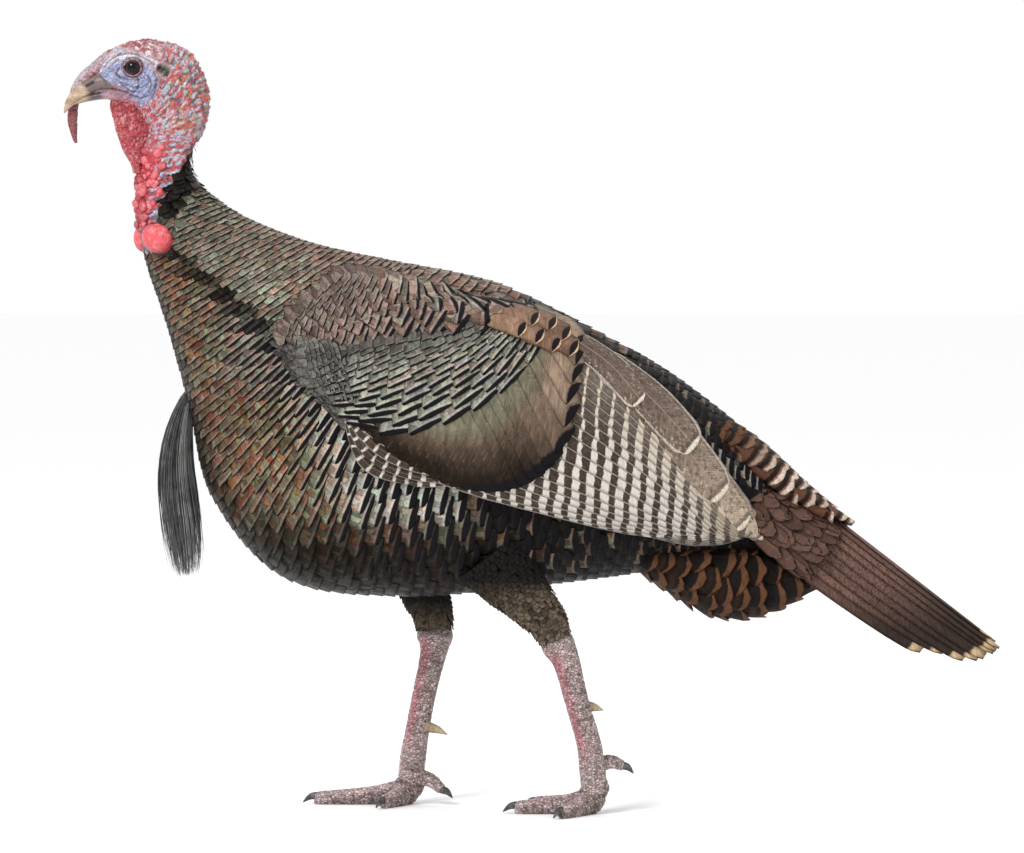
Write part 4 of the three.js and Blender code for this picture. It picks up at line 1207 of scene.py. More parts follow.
def barbs():
    """Fine barbs slanting out from the shaft of each vane, from its own UV map in decimetres."""
    if "vane_barbs" not in bpy.data.node_groups:
        group = bpy.data.node_groups.new("vane_barbs", "ShaderNodeTree")
        sheet_before, Sheet.tree = Sheet.tree, group
        for title in ("Height", "Shaft", "Across", "Along", "SizeAcross", "SizeAlong", "Side", "Hair"):
            group.interface.new_socket(title, in_out="OUTPUT", socket_type="NodeSocketFloat")
        size = node("SeparateXYZ", {0: node("UVMap", uv_map="VaneSize").outputs[0]})
        share = node("SeparateXYZ", {0: node("UVMap", uv_map="Vane").outputs[0]})
        wide = maths("ABSOLUTE", size.outputs[0])
        slanted = minus(size.outputs[1], times(wide, 0.9))
        strayed = plus(slanted, times(noise(130.0, 2.0), 0.012))
        wave = maths("SINE", times(strayed, 2 * math.pi / BARB_PITCH))
        place = node("SeparateXYZ", {0: in_space()})
        strand = node("CombineXYZ", {
            0: times(strayed, 95.0), 1: times(size.outputs[0], 7.0),
            2: times(place.outputs[2], 60.0)})
        hair = node("TexNoise", {"Vector": strand.outputs[0], "Scale": 1.0, "Detail": 3.0, "Roughness": 0.65})
        wire(group.nodes.new("NodeGroupOutput"), {
            "Height": wave, "Hair": hair.outputs[0],
            "Shaft": between(wide, 0.002, 0.0042, 1.0, 0.0),
            "Across": maths("ABSOLUTE", times_plus(share.outputs[0], 2.0, -1.0)),
            "Along": share.outputs[1], "SizeAcross": size.outputs[0], "SizeAlong": size.outputs[1],
            "Side": share.outputs[0]})
        Sheet.tree = sheet_before
    return node("Group", node_tree=bpy.data.node_groups["vane_barbs"]).outputs


PLUMAGE_GLOSS = 0.06


def iridescent(name, metallic, roughness, tip_colour, play=0.7, tip_wave=0.03, patch=6.5):
    """Feathers whose metallic sheen breaks into small patches of other hues, with dark tips that start where
    the marks say and taper to the sides."""
    material, shader = shade(name)
    vane = barbs()
    marks = marked()
    spot = node("CombineXYZ", {
        0: times_plus(marks.outputs[1], 23.0, maths("DIVIDE", vane["SizeAcross"], patch / 100)),
        1: times_plus(marks.outputs[1], 37.0, maths("DIVIDE", vane["SizeAlong"], patch / 60))})
    spread = {"Vector": spot.outputs[0], "Scale": 1.0, "Randomness": 0.55}
    patches = node("TexVoronoi", spread, voronoi_dimensions="2D")
    seams = node("TexVoronoi", spread, voronoi_dimensions="2D", feature="DISTANCE_TO_EDGE")
    own = node("SeparateColor", {0: patches.outputs["Color"]})
    shift = between(noise(150.0, 3.0), 0.28, 0.72, 0.46, 0.54)
    glow = times(between(noise(420.0, 4.0, 0.7), 0.3, 0.7, 0.72, 1.3),
                 between(own.outputs[0], 0.1, 0.9, 0.66, 1.42))
    shifted = node("HueSaturation", {"Hue": shift, "Saturation": 1.0, "Value": glow, "Color": tinted()})
    greener = mixed(between(own.outputs[1], 0.5, 0.8, 0.0, play), shifted.outputs[0], (0.21, 0.26, 0.18, 1), "COLOR")
    redder = mixed(between(own.outputs[2], 0.55, 0.85, 0.0, play), greener, (0.34, 0.18, 0.13, 1), "COLOR")
    hair = between(vane["Hair"], 0.3, 0.7, 0.68, 1.22)
    seam = between(seams.outputs["Distance"], 0.0, 0.08, 0.45, 1.0)
    haired = multiplied(redder, hair, seam)
    frayed = times_plus(noise(900.0, 2.0), tip_wave, vane["Along"])
    square = maths("POWER", vane["Across"], 2.0)
    tip_room = times(minus(1.0, marks.outputs[0]), times(square, 0.5))
    past = minus(frayed, plus(marks.outputs[0], tip_room))
    # Painted highlight: a pale line just before the black tip, where its curve would catch the light.
    glint = times(between(past, -0.09, -0.02), between(own.outputs[2], 0.1, 0.6, 0.1, 0.5))
    bright = node("HueSaturation", {"Saturation": 0.35, "Value": 1.9, "Color": tinted()}).outputs[0]
    glinting = mixed(glint, haired, bright)
    tip = between(past, -0.005, 0.03)
    dull = between(glow, 0.7, 1.35, roughness + 0.08, roughness - 0.06)
    relief = plus(vane["Height"], vane["Hair"])
    surface(shader, mixed(tip, glinting, tip_colour), dull, PLUMAGE_GLOSS, relief, 0.00018, 0.7)
    wire(shader, {"Metallic": between(tip, 0.0, 1.0, metallic, 0.0)})
    return material


body_plumage = iridescent("body_plumage", 0.45, 0.42, (*BLACK_TIP, 1))
NECK_START, RUMP_END = 8.8, 20.0


def row_gap(u):
    return float(np.interp(u, [9, 10.5, 12, 13.5, 15, 16.5, 18, 20], [4.5, 6.0, 7.4, 8.6, 12.5, 13.5, 11, 9]))


def vane_gap(u):
    return float(np.interp(u, [9, 10.5, 12, 13.5, 15, 16.5, 18, 20], [5.5, 12, 20, 29, 37, 30, 17, 13]))


coat_rng = np.random.default_rng(5)
tip_u, tip_turn, gap, breadth = coat_rows(body_point, NECK_START, RUMP_END, row_gap, vane_gap, 6)
tip_at = body_point(tip_u, tip_turn)
under_share, under_place = wing_place(tip_at[:, 0], tip_at[:, 2])
covered = (under_place > -0.72) & (under_place < 0.8) & (under_share > 0.17) & (under_share < 0.93)
bare = (tip_at[:, 0] - 3 < feather_line(tip_at[:, 2])) & (tip_at[:, 2] > BARE_BOTTOM)
kept = ~covered & ~bare
tip_u, tip_turn, gap, breadth = tip_u[kept], tip_turn[kept], gap[kept], breadth[kept]
tint_u, band_u = body_look(tip_u, tip_turn, coat_rng)
length_u = gap * 3.0
marks_u = np.stack([1 - band_u / length_u, coat_rng.uniform(size=len(tip_u)), 0 * tip_u], -1)
PIECES_OF_COAT = [("neck_plumage", 0, 12.2), ("breast_plumage", 12.2, 14.1), ("flank_plumage", 14.1, 16.4),
                  ("rump_plumage", 16.4, 21)]
for seed, (name, start, end) in enumerate(PIECES_OF_COAT):
    own = (tip_u >= start) & (tip_u < end)
    camber = np.clip(breadth[own] * 0.05, 0.3, 1.1)
    ruffled = 1 - ramp(tip_u[own], 10.0, 11.4)
    lift = 0.1 + ruffled * coat_rng.uniform(-0.5, 3.8, own.sum())
    low = ramp(np.abs(tip_turn[own]), 0.7, 1.2) * (1 - ramp(np.abs(tip_turn[own]), 2.5, 3.0))
    top, s, t = coat_vanes(body_point, tip_u[own], tip_turn[own], length_u[own], breadth[own] * 0.62,
                           gap[own] * (0.34 + 0.5 * ruffled), lift, camber, 50 + seed,
                           stray=0.025 + 0.42 * ruffled, bow=gap[own] * 0.14,
                           slant=breadth[own] * (0.04 + 0.1 * ramp(tip_u[own], 13.5, 15)) * low)
    roots = (tip_turn[own] / (2 * math.pi) + 0.5, (tip_u[own] - 0.5) / LAST_RING)
    vane_mesh(name, top, roots, (length_u[own], breadth[own] * 0.62, s, t), tint_u[own], marks_u[own],
              body_plumage)


# ---- the folded wings
# Each wing lies closed along the body. Its barred primaries show only along the lower edge; over them lie the
# secondaries, then the brown greater coverts, the bronze lesser coverts, the tertials and the scapulars.

QUILL_STATIONS = np.array([0, 0.1, 0.2, 0.3, 0.4, 0.5, 0.6, 0.7, 0.78, 0.85, 0.9, 0.94, 0.97, 1.0])
QUILL_COLUMNS = np.array([-1, -0.66, -0.33, 0, 0.33, 0.66, 1.0])
ROUND_TIP = ([0, 0.2, 0.6, 0.85, 0.93, 0.97, 1.0], [0.6, 0.9, 1.0, 0.95, 0.78, 0.55, 0.12])
SQUARE_TIP = ([0, 0.25, 0.5, 0.85, 0.93, 0.97, 1.0], [0.4, 0.8, 1.0, 1.0, 0.96, 0.86, 0.6])


def curve(points, share):
    """A point of a smooth curve through points of the side view."""
    return along(np.asarray(points, float), share)


def both_wings(name, paths, half, layer, depth, camber, roll, seed, look, material, outline=ROUND_TIP,
               stations=QUILL_STATIONS, columns=QUILL_COLUMNS, replaces=False, bow=0.0, slant=0.0):
    """The same vanes on both wings, laid along curves of the side view and coloured by a function of their
    spots in it. Their t runs from the lower to the upper edge."""
    paths = np.asarray(paths, float)
    count = len(paths)
    s, t = grid_of(stations, columns)
    s, t = (np.broadcast_to(values, (count,) + values.shape) for values in (s, t))
    control = paths.transpose(1, 0, 2)
    grid = stations[:, None] * np.ones(len(columns))
    at = along(control, grid).transpose(2, 0, 1, 3)
    ahead = unit((along(control, grid + 0.02) - along(control, grid - 0.02)).transpose(2, 0, 1, 3))
    normal = np.stack([-ahead[..., 1], ahead[..., 0]], -1)
    ragged = np.random.default_rng(seed).uniform(-0.5, 0.5, s.shape) * (s > 0.9)
    wide = each_vane(half) * np.interp(s, *outline) * t
    back = ragged - each_vane(bow, count) * t**2 - each_vane(slant, count) * t
    spot = at + normal * wide[..., None] + ahead * back[..., None]
    u, turn = on_body(spot[..., 0], spot[..., 1])
    rise = wing_rise(spot[..., 0],
                     spot[..., 1]) + each_vane(layer) - depth * (1 - s) - camber * t**2 - roll * t
    root_u, root_turn = on_body(paths[:, 0, 0], paths[:, 0, 1])
    length = np.linalg.norm(np.diff(paths, axis=1), axis=-1).sum(1)
    for side_name, side in (("left", LEFT), ("right", RIGHT)):
        grids = [body_point(u, side * turn, rise), s, t, spot]
        if side == RIGHT:
            grids = [values[:, :, ::-1] for values in grids]
        top, side_s, side_t, side_spot = grids
        tints, marks = look(side_spot, side_s, np.random.default_rng(seed + 1))
        roots = (side * root_turn / (2 * math.pi) + 0.5, root_u / LAST_RING)
        vane_mesh(f"{name}_{side_name}", top, roots, (length, half, side_s, side_t), tints, marks, material,
                  (f"wing_{side_name}",) if replaces else ())


def per_vane(values, spot):
    """Values of whole vanes, spread over their points."""
    values = np.asarray(values, float)
    return np.broadcast_to(values[:, None, None], spot.shape[:3] + values.shape[1:])


# The flight feathers are barred: dark blocks on white, with a cream edge to each outer web.
QUILL_DARK, QUILL_WHITE, QUILL_CREAM = (0.05, 0.036, 0.028, 1), (0.56, 0.51, 0.46, 1), (0.46, 0.37, 0.27, 1)


def barred(name, edge_width):
    """Cross bars; the marks give the pale share, the count of bars so far and the fading."""
    material, shader = shade(name)
    vane = barbs()
    marks = marked()
    strayed = times_plus(noise(160.0, 3.0), 0.3, marks.outputs[1])
    phase = maths("FRACT", strayed)
    half_gap = times(marks.outputs[0], 0.5)
    away = maths("ABSOLUTE", minus(phase, 0.5))
    rough_away = times_plus(noise(1300.0, 2.0), 0.1, away)
    pale = between(minus(rough_away, plus(half_gap, 0.05)), -0.035, 0.035, 1.0, 0.0)
    mottled = between(noise(260.0, 5.0, 0.7), 0.35, 0.7, 0.7, 1.5)
    dark = multiplied(mixed(marks.outputs[2], QUILL_DARK, tinted()), mottled)
    barred_colour = mixed(pale, dark, mixed(marks.outputs[2], QUILL_WHITE, QUILL_CREAM))
    lower = times_plus(vane["Side"], 2.0, -1.0)
    edge = between(lower, -1.0 + edge_width, -1.0 + edge_width * 2, 1.0, 0.0)
    edged = mixed(times(edge, 0.8), barred_colour,
                  mixed(marks.outputs[2], QUILL_WHITE, QUILL_CREAM))
    shadow = between(lower, -0.1, 0.5, 1.0, 0.55)
    furrow = between(vane["Hair"], 0.3, 0.7, 0.8, 1.08)
    final = multiplied(edged, furrow, shadow)
    shaft = mixed(times(vane["Shaft"], 0.6), final, (0.2, 0.14, 0.09, 1))
    surface(shader, shaft, 0.55, PLUMAGE_GLOSS, vane["Height"], 0.00012, 0.6)
    return material


primary_bars = barred("primary_bars", 0.09)
secondary_bars = barred("secondary_bars", 0.06)
PRIMARY_PITCH, SECONDARY_PITCH = 13.0, 14.8

PRIMARY_LOW = [(-182, 400), (-177, 382), (-172, 364), (-166, 352), (-156, 344.5), (-140, 338), (-120, 334),
               (-103, 334), (-84, 336), (-56, 337), (-18, 331), (30, 313), (80, 298), (174, 277)]
PRIMARY_HIGH = [(-182, 402), (-168, 396), (-152, 388), (-138, 379), (-121, 370), (-105, 362), (-93, 357),
                (-80, 353), (-62, 350), (-34, 345), (8, 332), (56, 314), (106, 299), (174, 282)]
PRIMARY_COUNT = 4
primary_share = (np.arange(PRIMARY_COUNT) + 0.3) / (PRIMARY_COUNT - 0.4)
primary_paths = [np.array(PRIMARY_LOW) + (np.array(PRIMARY_HIGH) - PRIMARY_LOW) * f for f in primary_share]
PRIMARY_OUTLINE = ([0, 0.05, 0.12, 0.3, 0.45, 0.6, 0.9, 0.97, 1.0],
                   [0.2, 0.55, 1.0, 1.0, 0.6, 0.5, 0.45, 0.3, 0.1])
PRIMARY_STATIONS = np.concatenate([np.linspace(0, 0.94, 26), [0.97, 1.0]])


def primary_look(spot, s, rng):
    count, middle = spot.shape[0], spot[:, :, spot.shape[2] // 2]
    run = np.concatenate([np.zeros((count, 1)),
                          np.cumsum(np.linalg.norm(np.diff(middle, axis=1), axis=-1), 1)], 1)
    bars = run[:, :, None] / PRIMARY_PITCH + per_vane(0.5 * np.arange(count), spot[..., 0])
    marks = np.stack([0.2 + 0.25 * ramp(s, 0.35, 0.6), bars, 0 * s], -1)
    return per_vane(np.full((count, 3), (0.034, 0.026, 0.023)), spot[..., 0]), marks


both_wings("primaries", primary_paths, np.full(PRIMARY_COUNT, 6.6), 0.35 * np.arange(PRIMARY_COUNT) - 0.6,
           0.2, 0.3,
           0.45, 101, primary_look, primary_bars, PRIMARY_OUTLINE, PRIMARY_STATIONS, replaces=True)

SECONDARY_ROOTS = [(-94, 346), (-50, 351), (-18, 362), (4, 386), (14, 412), (18, 436), (20, 458)]
SECONDARY_TIPS = [(176, 275), (189, 275), (199, 275.5), (206, 276.5), (212, 278), (216, 281), (219, 284)]
SECONDARY_COUNT = 16
secondary_paths = []
for f in np.linspace(0, 1, SECONDARY_COUNT):
    root, tip = curve(SECONDARY_ROOTS, f), curve(SECONDARY_TIPS, f)
    sag = np.array([0.5, 0.87]) * (1 + 9 * f)
    secondary_paths.append([root, root + (tip - root) / 3 + sag * 0.9, root + (tip - root) * 2 / 3 + sag,
                            tip])


def secondary_look(spot, s, rng):
    count = spot.shape[0]
    f = per_vane(np.linspace(0, 1, count), spot[..., 0])
    pale = 0.56 - 0.4 * ramp(spot[..., 1] - 0.5 * (spot[..., 0] - 60), 330, 400)
    fade = 0.05 + 0.8 * ramp(f + 0.3 * ramp(s, 0.6, 1.0), 0.5, 1.15)
    middle = spot[:, :, spot.shape[2] // 2]
    bars = np.repeat((middle[..., 0] - 0.07 * middle[..., 1])[:, :, None], spot.shape[2], 2)
    bars = (0.12 * bars + 0.88 * (spot[..., 0] - 0.07 * spot[..., 1])) / SECONDARY_PITCH
    bars = bars + per_vane(rng.uniform(-0.08, 0.08, count), s)
    tints = blend((0.075, 0.056, 0.045), (0.17, 0.14, 0.115), ramp(f, 0.3, 1.0))
    return tints, np.stack([pale, bars, fade], -1)


both_wings("secondaries", secondary_paths, np.full(SECONDARY_COUNT, 12.5),
           0.5 + 0.14 * np.arange(SECONDARY_COUNT),
           0.6, 0.5, 0.9, 111, secondary_look, secondary_bars)

# The tertials are broad and round-ended: grey-brown, finely freckled, with a worn pale fringe.
tertial_brown, shader = shade("tertial_brown")
vane = barbs()
freckle = between(noise(300.0, 5.0, 0.7), 0.52, 0.66, 0.0, 0.75)
near_edge = maths("MAXIMUM", between(vane["Across"], 0.2, 0.95), between(vane["Along"], 0.6, 1.0))
dusky = mixed(between(noise(230.0, 4.0), 0.45, 0.65, 0.0, 0.6), tinted(), (0.05, 0.036, 0.03, 1))
ground = mixed(times(freckle, near_edge), dusky, (0.6, 0.49, 0.38, 1))
jagged = times_plus(noise(800.0, 3.0), 0.035, vane["Along"])
near_tip = times(between(jagged, 0.7, 0.95), 0.09)
jagged_side = times_plus(noise(800.0, 3.0), 0.08, plus(vane["Across"], near_tip))
rim_in = maths("MAXIMUM", between(jagged_side, 0.92, 0.97), between(jagged, 0.945, 0.965))
dark_line = between(jagged, 0.9, 0.93, 0.0, 0.6)
lined = mixed(dark_line, ground, (0.06, 0.045, 0.038, 1))
rimmed = mixed(times(rim_in, 0.9), lined, (0.74, 0.65, 0.54, 1))
furrow = between(vane["Hair"], 0.3, 0.7, 0.6, 1.2)
shafted = mixed(times(vane["Shaft"], 0.7), multiplied(rimmed, furrow),
                (0.33, 0.25, 0.17, 1))
surface(shader, shafted, 0.55, PLUMAGE_GLOSS, vane["Height"], 0.00012, 0.6)

TERTIALS = [((231, 277), (149, 339), 12), ((212, 289), (117, 381), 19), ((189, 318), (83, 420), 19),
            ((160, 361), (57, 446), 18), ((105, 402), (32, 462), 14)]
tertial_paths = [[root, np.add(root, np.subtract(tip, root) * 0.5) + (3, 4), tip] for tip, root,
                 _ in TERTIALS]


def tertial_look(spot, s, rng):
    buff = per_vane([0.9, 0.75, 0.4, 0.05, 0.0], spot[..., 0]) * ramp(s, 0.35, 0.85)
    tints = blend((0.165, 0.118, 0.095), (0.5, 0.4, 0.3), buff)
    # Painted shade: each tertial is darker towards its root, under the feather that lies over it.
    tints = tints * (0.75 + 0.4 * ramp(s, 0.2, 0.9))[..., None]
    return tints, np.zeros(spot.shape[:3] + (3,))


both_wings("tertials", tertial_paths, np.array([h for _, _, h in TERTIALS], float),
           np.linspace(2.6, 5.0, len(TERTIALS)), 1.0, 1.6, 0.3, 121, tertial_look, tertial_brown)

# The greater coverts are smooth and brown, in a fan whose last feathers end in bold black tips. Above them a
# few brown feathers have a black spot and a pale rim.
covert_brown, shader = shade("covert_brown")
vane = barbs()
marks = marked()
streak = between(noise(90.0, 4.0, 0.6, (1.6, 1.0, 0.5)), 0.3, 0.7, 0.72, 1.28)
furrow = between(vane["Hair"], 0.28, 0.72, 0.66, 1.32)
brown = multiplied(tinted(), streak, furrow)
# Painted sheen: pale streaks along the barbs, over the feathers' own brown.
hair_sheen = between(vane["Hair"], 0.62, 0.72, 0.0, 0.22)
brown = mixed(hair_sheen, brown, (0.36, 0.27, 0.2, 1))
frayed = times_plus(noise(500.0, 2.0), 0.05, vane["Along"])
narrowed = times(maths("POWER", vane["Across"], 2.0), times(marks.outputs[2], -0.22))
bowed = plus(narrowed, frayed)
tip = times(between(minus(bowed, marks.outputs[0]), -0.01, 0.03), marks.outputs[1])
tipped = mixed(tip, brown, (*BLACK_TIP, 1))
rim = between(plus(frayed, marks.outputs[2]), 1.93, 1.97)
rimmed = mixed(rim, tipped, (0.5, 0.33, 0.2, 1))
surface(shader, rimmed, 0.45, PLUMAGE_GLOSS, vane["Hair"], 0.0003, 0.7)
wire(shader, {"Metallic": 0.1})

GREATER_TIPS = [(-168, 395), (-143, 374), (-119, 358), (-98, 347), (-78, 338), (-57, 332), (-35, 330),
                (-13, 333),
                (6, 342), (22, 355), (33, 372), (38, 393), (38, 411), (41, 427), (43, 442), (42, 456)]
greater_share = np.concatenate([np.linspace(0, 0.6, 19), [0.66, 0.73, 0.8, 0.87, 0.94, 1.0]])
greater_half = np.interp(greater_share, [0, 0.55, 0.68, 1.0], [9.5, 10.0, 15.0, 11.0])
greater_turn = np.radians(np.interp(greater_share, [0, 0.5, 1], [-64, -56, -46]))
greater_long = np.interp(greater_share, [0, 0.3, 0.6, 1], [50, 84, 96, 60])
greater_paths = []
for f, angle, long in zip(greater_share, greater_turn, greater_long):
    tip, way = curve(GREATER_TIPS, f), np.array([math.cos(angle), math.sin(angle)])
    greater_paths.append([tip - way * long, tip - way * long / 2 + (2.5, 2), tip])


def greater_look(spot, s, rng):
    count = spot.shape[0]
    f = per_vane(greater_share, s)
    lower = ramp(s, 0.2, 0.6) * ramp(f, 0.5, 0.8) * (1 - 0.5 * ramp(s, 0.6, 0.95))
    tints = layered((0.115, 0.078, 0.055),
                    ((0.013, 0.008, 0.005), ramp(s, 0.3, 0.85) * (1 - ramp(f, 0.55, 0.85))),
                    ((0.27, 0.19, 0.135), lower), ((0.16, 0.155, 0.105), 0.8 * (1 - ramp(s, 0.25, 0.5))))
    tints = tints * per_vane(rng.uniform(0.96, 1.04, count), s)[..., None]
    marks = np.stack([0.885 - 0.015 * ramp(f, 0.55, 0.7), ramp(f, 0.26, 0.38), 0.85 * ramp(f, 0.6, 0.72)], -1)
    return tints, marks


both_wings("greater_coverts", greater_paths, greater_half, 3.4 + 0.03 * np.arange(len(greater_share)), 1.0,
           0.2, 0.12,
           131, greater_look, covert_brown, VANE_OUTLINE,
           slant=np.interp(greater_share, [0, 0.55, 0.68, 1], [-3, -2, 4, 4]), bow=1.5)

SPOTTED_TIPS = [(39, 449), (31, 463), (21, 453), (17, 473), (4, 461), (-1, 478), (-14, 468)]
spotted_paths = [[np.add(tip, (-36, 12)), np.add(tip, (-17, 9)),
                  np.array(tip, float)] for tip in SPOTTED_TIPS]


def spotted_look(spot, s, rng):
    count = spot.shape[0]
    tints = per_vane(blend((0.15, 0.085, 0.058), (0.24, 0.145, 0.095), rng.uniform(size=count)), spot[..., 0])
    return tints, np.broadcast_to((0.76, 1.0, 1.0), spot.shape[:3] + (3,))


both_wings("spotted_coverts", spotted_paths, np.full(len(SPOTTED_TIPS), 10.0),
           5.4 + 0.1 * np.arange(len(SPOTTED_TIPS)),
           1.2, 0.6, 0.3, 135, spotted_look, covert_brown, SQUARE_TIP, bow=3.0)


def arc_rows(first, last, rows, width, seed, reach=3.0, lean=0.0, crowding=1.25):
    """Short vanes in rows whose tips lie on arcs between a first and a last arc, pointing across them."""
    rng = np.random.default_rng(seed)
    first, last = np.asarray(first, float), np.asarray(last, float)
    paths, gaps, widths, shares, places = [], [], [], [], []
    for row in range(rows):
        f, ahead_of = (row / (rows - 1)) ** crowding, (max(row - 1, 0) / (rows - 1)) ** crowding
        if row == 0:
            ahead_of = -((1 / (rows - 1)) ** crowding)
        arc, before = first + (last - first) * f, first + (last - first) * ahead_of
        fine = along(arc, np.linspace(0, 1, 60))
        steps = np.concatenate([[0], np.cumsum(np.linalg.norm(np.diff(fine, axis=0), axis=-1))])
        wide = width(f)
        number = max(int(steps[-1] / wide), 2)
        for k in range(number + 1):
            d = (k + 0.5 * (row % 2) - 0.25 + rng.uniform(-0.12, 0.12)) * steps[-1] / number
            place = np.clip(np.interp(d, steps, np.linspace(0, 1, 60)), 0, 1)
            gap = np.hypot(*(along(arc, place) - along(before, place)))
            if gap < 2.2 or (gap < 4.5 and row % 2):
                continue
            gap = max(gap, 4.5)
            tip = along(arc, place) + rng.uniform(-0.05, 0.05) * gap
            tangent = unit(along(arc, place + 0.05) - along(arc, place - 0.05))
            way = unit(np.array([tangent[1], -tangent[0]]) + tangent * (lean + rng.normal(0, 0.03)))
            root = tip - way * gap * reach
            paths.append([root, (root + tip) / 2 + tangent * 0.04 * gap * reach, tip])
            gaps.append(gap)
            widths.append(steps[-1] / number)
            shares.append(f)
            places.append(place)
    return [np.array(values) for values in (paths, gaps, widths, shares, places)]


def covert_look(low, high, tip_low, tip_high, rows, accents, reach=3.0):
    """Colours of small wing feathers from the first row to the last, with black tips of a share of each
    gap."""
    def look(spot, s, rng):
        count = spot.shape[0]
        f = rows[3]
        colour = blend(low, high, ramp(f, 0.0, 0.45))
        pick = rng.integers(0, len(accents), count)
        colour = blend(colour, np.asarray(accents)[pick], 0.5 * rng.uniform(size=count) * ramp(f, 0.1, 0.4))
        colour = colour * rng.uniform(0.85, 1.12, count)[:, None]
        tip = tip_low + (tip_high - tip_low) * ramp(f, 0.0, 0.8)
        return colour, np.stack([1 - tip / reach, rng.uniform(size=count), 0 * f], -1)
    return look


def covert_coat_of_wing(name, rows, layer, seed, look, slant, camber=0.5, sunk=0.0):
    gap = rows[1]
    layers = layer - sunk * (1 - ramp(rows[3], 0, 0.45) * ramp(rows[4], 0, 0.4))
    both_wings(name, rows[0], rows[2] * 0.62, layers, 2.6, camber, 0.5, seed, look, covert_sheen,
               VANE_OUTLINE, VANE_STATIONS, VANE_COLUMNS, bow=gap * 0.15, slant=gap * slant)


covert_sheen = iridescent("covert_sheen", 0.45, 0.4, (*BLACK_TIP, 1), 0.3)
COVERT_FIRST = [(-204, 448), (-174, 460), (-136, 465), (-98, 468), (-66, 476), (-34, 490)]
COVERT_LAST = [(-168, 391), (-128, 383), (-88, 391), (-48, 408), (-14, 432), (12, 470)]
lesser = arc_rows(COVERT_FIRST, COVERT_LAST, 12, lambda f: 11 + 17 * f, 7)
covert_coat_of_wing("lesser_coverts", lesser, 4.0, 141,
                    covert_look((0.11, 0.105, 0.095), (0.31, 0.31, 0.25), 0.26, 0.6, lesser,
                                [(0.33, 0.22, 0.16), (0.22, 0.27, 0.16), (0.32, 0.29, 0.31)]), 0.45)

SHOULDER_FIRST = [(-228, 440), (-238, 452), (-244, 466), (-243, 479)]
SHOULDER_LAST = [(-170, 388), (-174, 412), (-182, 438), (-192, 466)]
shoulder = arc_rows(SHOULDER_FIRST, SHOULDER_LAST, 12, lambda f: 7.0 + 3 * f, 8, 2.2, crowding=1.0)
covert_coat_of_wing("shoulder_plumage", shoulder, 4.2, 151,
                    covert_look((0.1, 0.097, 0.097), (0.14, 0.135, 0.125), 0.05, 0.13, shoulder,
                                [(0.11, 0.12, 0.1), (0.13, 0.115, 0.115)], 2.2), 0.2, 0.3, 6.5)

SCAPULAR_FIRST = [(-242, 474), (-236, 488), (-224, 503), (-208, 518), (-190, 533)]
SCAPULAR_LAST = [(-26, 466), (-8, 476), (0, 486), (-4, 496), (-22, 504)]
scapular = arc_rows(SCAPULAR_FIRST, SCAPULAR_LAST, 22, lambda f: 10.0 + 16.0 * f, 9)
covert_coat_of_wing("scapulars", scapular, 4.8, 161,
                    covert_look((0.175, 0.13, 0.11), (0.25, 0.16, 0.125), 0.2, 0.5, scapular,
                                [(0.32, 0.165, 0.13), (0.34, 0.32, 0.27), (0.25, 0.25, 0.2)]), 0.4, 0.6, 2.5)

# ---- the tail and its coverts
# Eighteen stiff, finely barred brown feathers are stacked under an arch, the middle pair on top. Coverts with
# pale, frayed ends lie over their roots, and broad black and chestnut ones under them.

TAIL_ROOT, TAIL_TIP = np.array([226.0, 354.0]), np.array([466.7, 168.0])
TAIL_HEIGHT, TAIL_HALF, TAIL_COUNT = [60, 60, 58, 53, 46], [38, 46, 50, 50, 44], 18
TAIL_SPREAD = math.radians(86)


def tail_point(share, turn, out=0.0):
    """A point of the tail's arch, by its share of the length and the turn from its ridge."""
    reach = TAIL_TIP - TAIL_ROOT
    length = np.hypot(*reach)
    ahead, upward = reach / length, np.array([-reach[1], reach[0]]) / length
    height = smooth(TAIL_HEIGHT, np.clip(share, -0.05, 1.05) * 4) + out
    half = smooth(TAIL_HALF, np.clip(share, -0.05, 1.05) * 4) + out
    drop = height * (1 - np.cos(turn)) - out
    spot = TAIL_ROOT + ahead * (np.asarray(share) * length)[..., None] - upward * drop[..., None]
    return np.stack([spot[..., 0], half * np.sin(turn), spot[..., 1]], -1)


tail_quill, shader = shade("tail_quill")
vane = barbs()
wave = times_plus(noise(260.0, 3.0), 0.035, vane["SizeAlong"])
TAIL_BAR_PITCH = 0.024  # in decimetres
fine_bar = between(maths("SINE", times(wave, 2 * math.pi / TAIL_BAR_PITCH)), -0.3, 0.6)
vermicule = between(noise(330.0, 4.0, 0.7), 0.42, 0.6)
stripe = between(plus(vane["Side"], times(noise(90.0), 0.3)), 0.62, 0.9, 0.0, 0.8)
barred_web = mixed(times(fine_bar, vermicule), tinted(), (0.022, 0.014, 0.011, 1))
chestnut = mixed(stripe, barred_web, (0.02, 0.014, 0.012, 1))
from_tip = times_plus(noise(300.0, 3.0), 0.02, vane["Along"])
dark_band = times(between(from_tip, 0.55, 0.88), 0.85)
banded = mixed(dark_band, chestnut, (0.02, 0.015, 0.013, 1))
tipped = mixed(between(from_tip, 0.958, 0.972), banded, (0.52, 0.37, 0.22, 1))
furrow = between(vane["Hair"], 0.3, 0.7, 0.62, 1.2)
rib = mixed(times(vane["Shaft"], 0.8), multiplied(tipped, furrow),
            (0.1, 0.062, 0.045, 1))
surface(shader, rib, 0.5, PLUMAGE_GLOSS, vane["Height"], 0.00015, 0.7)

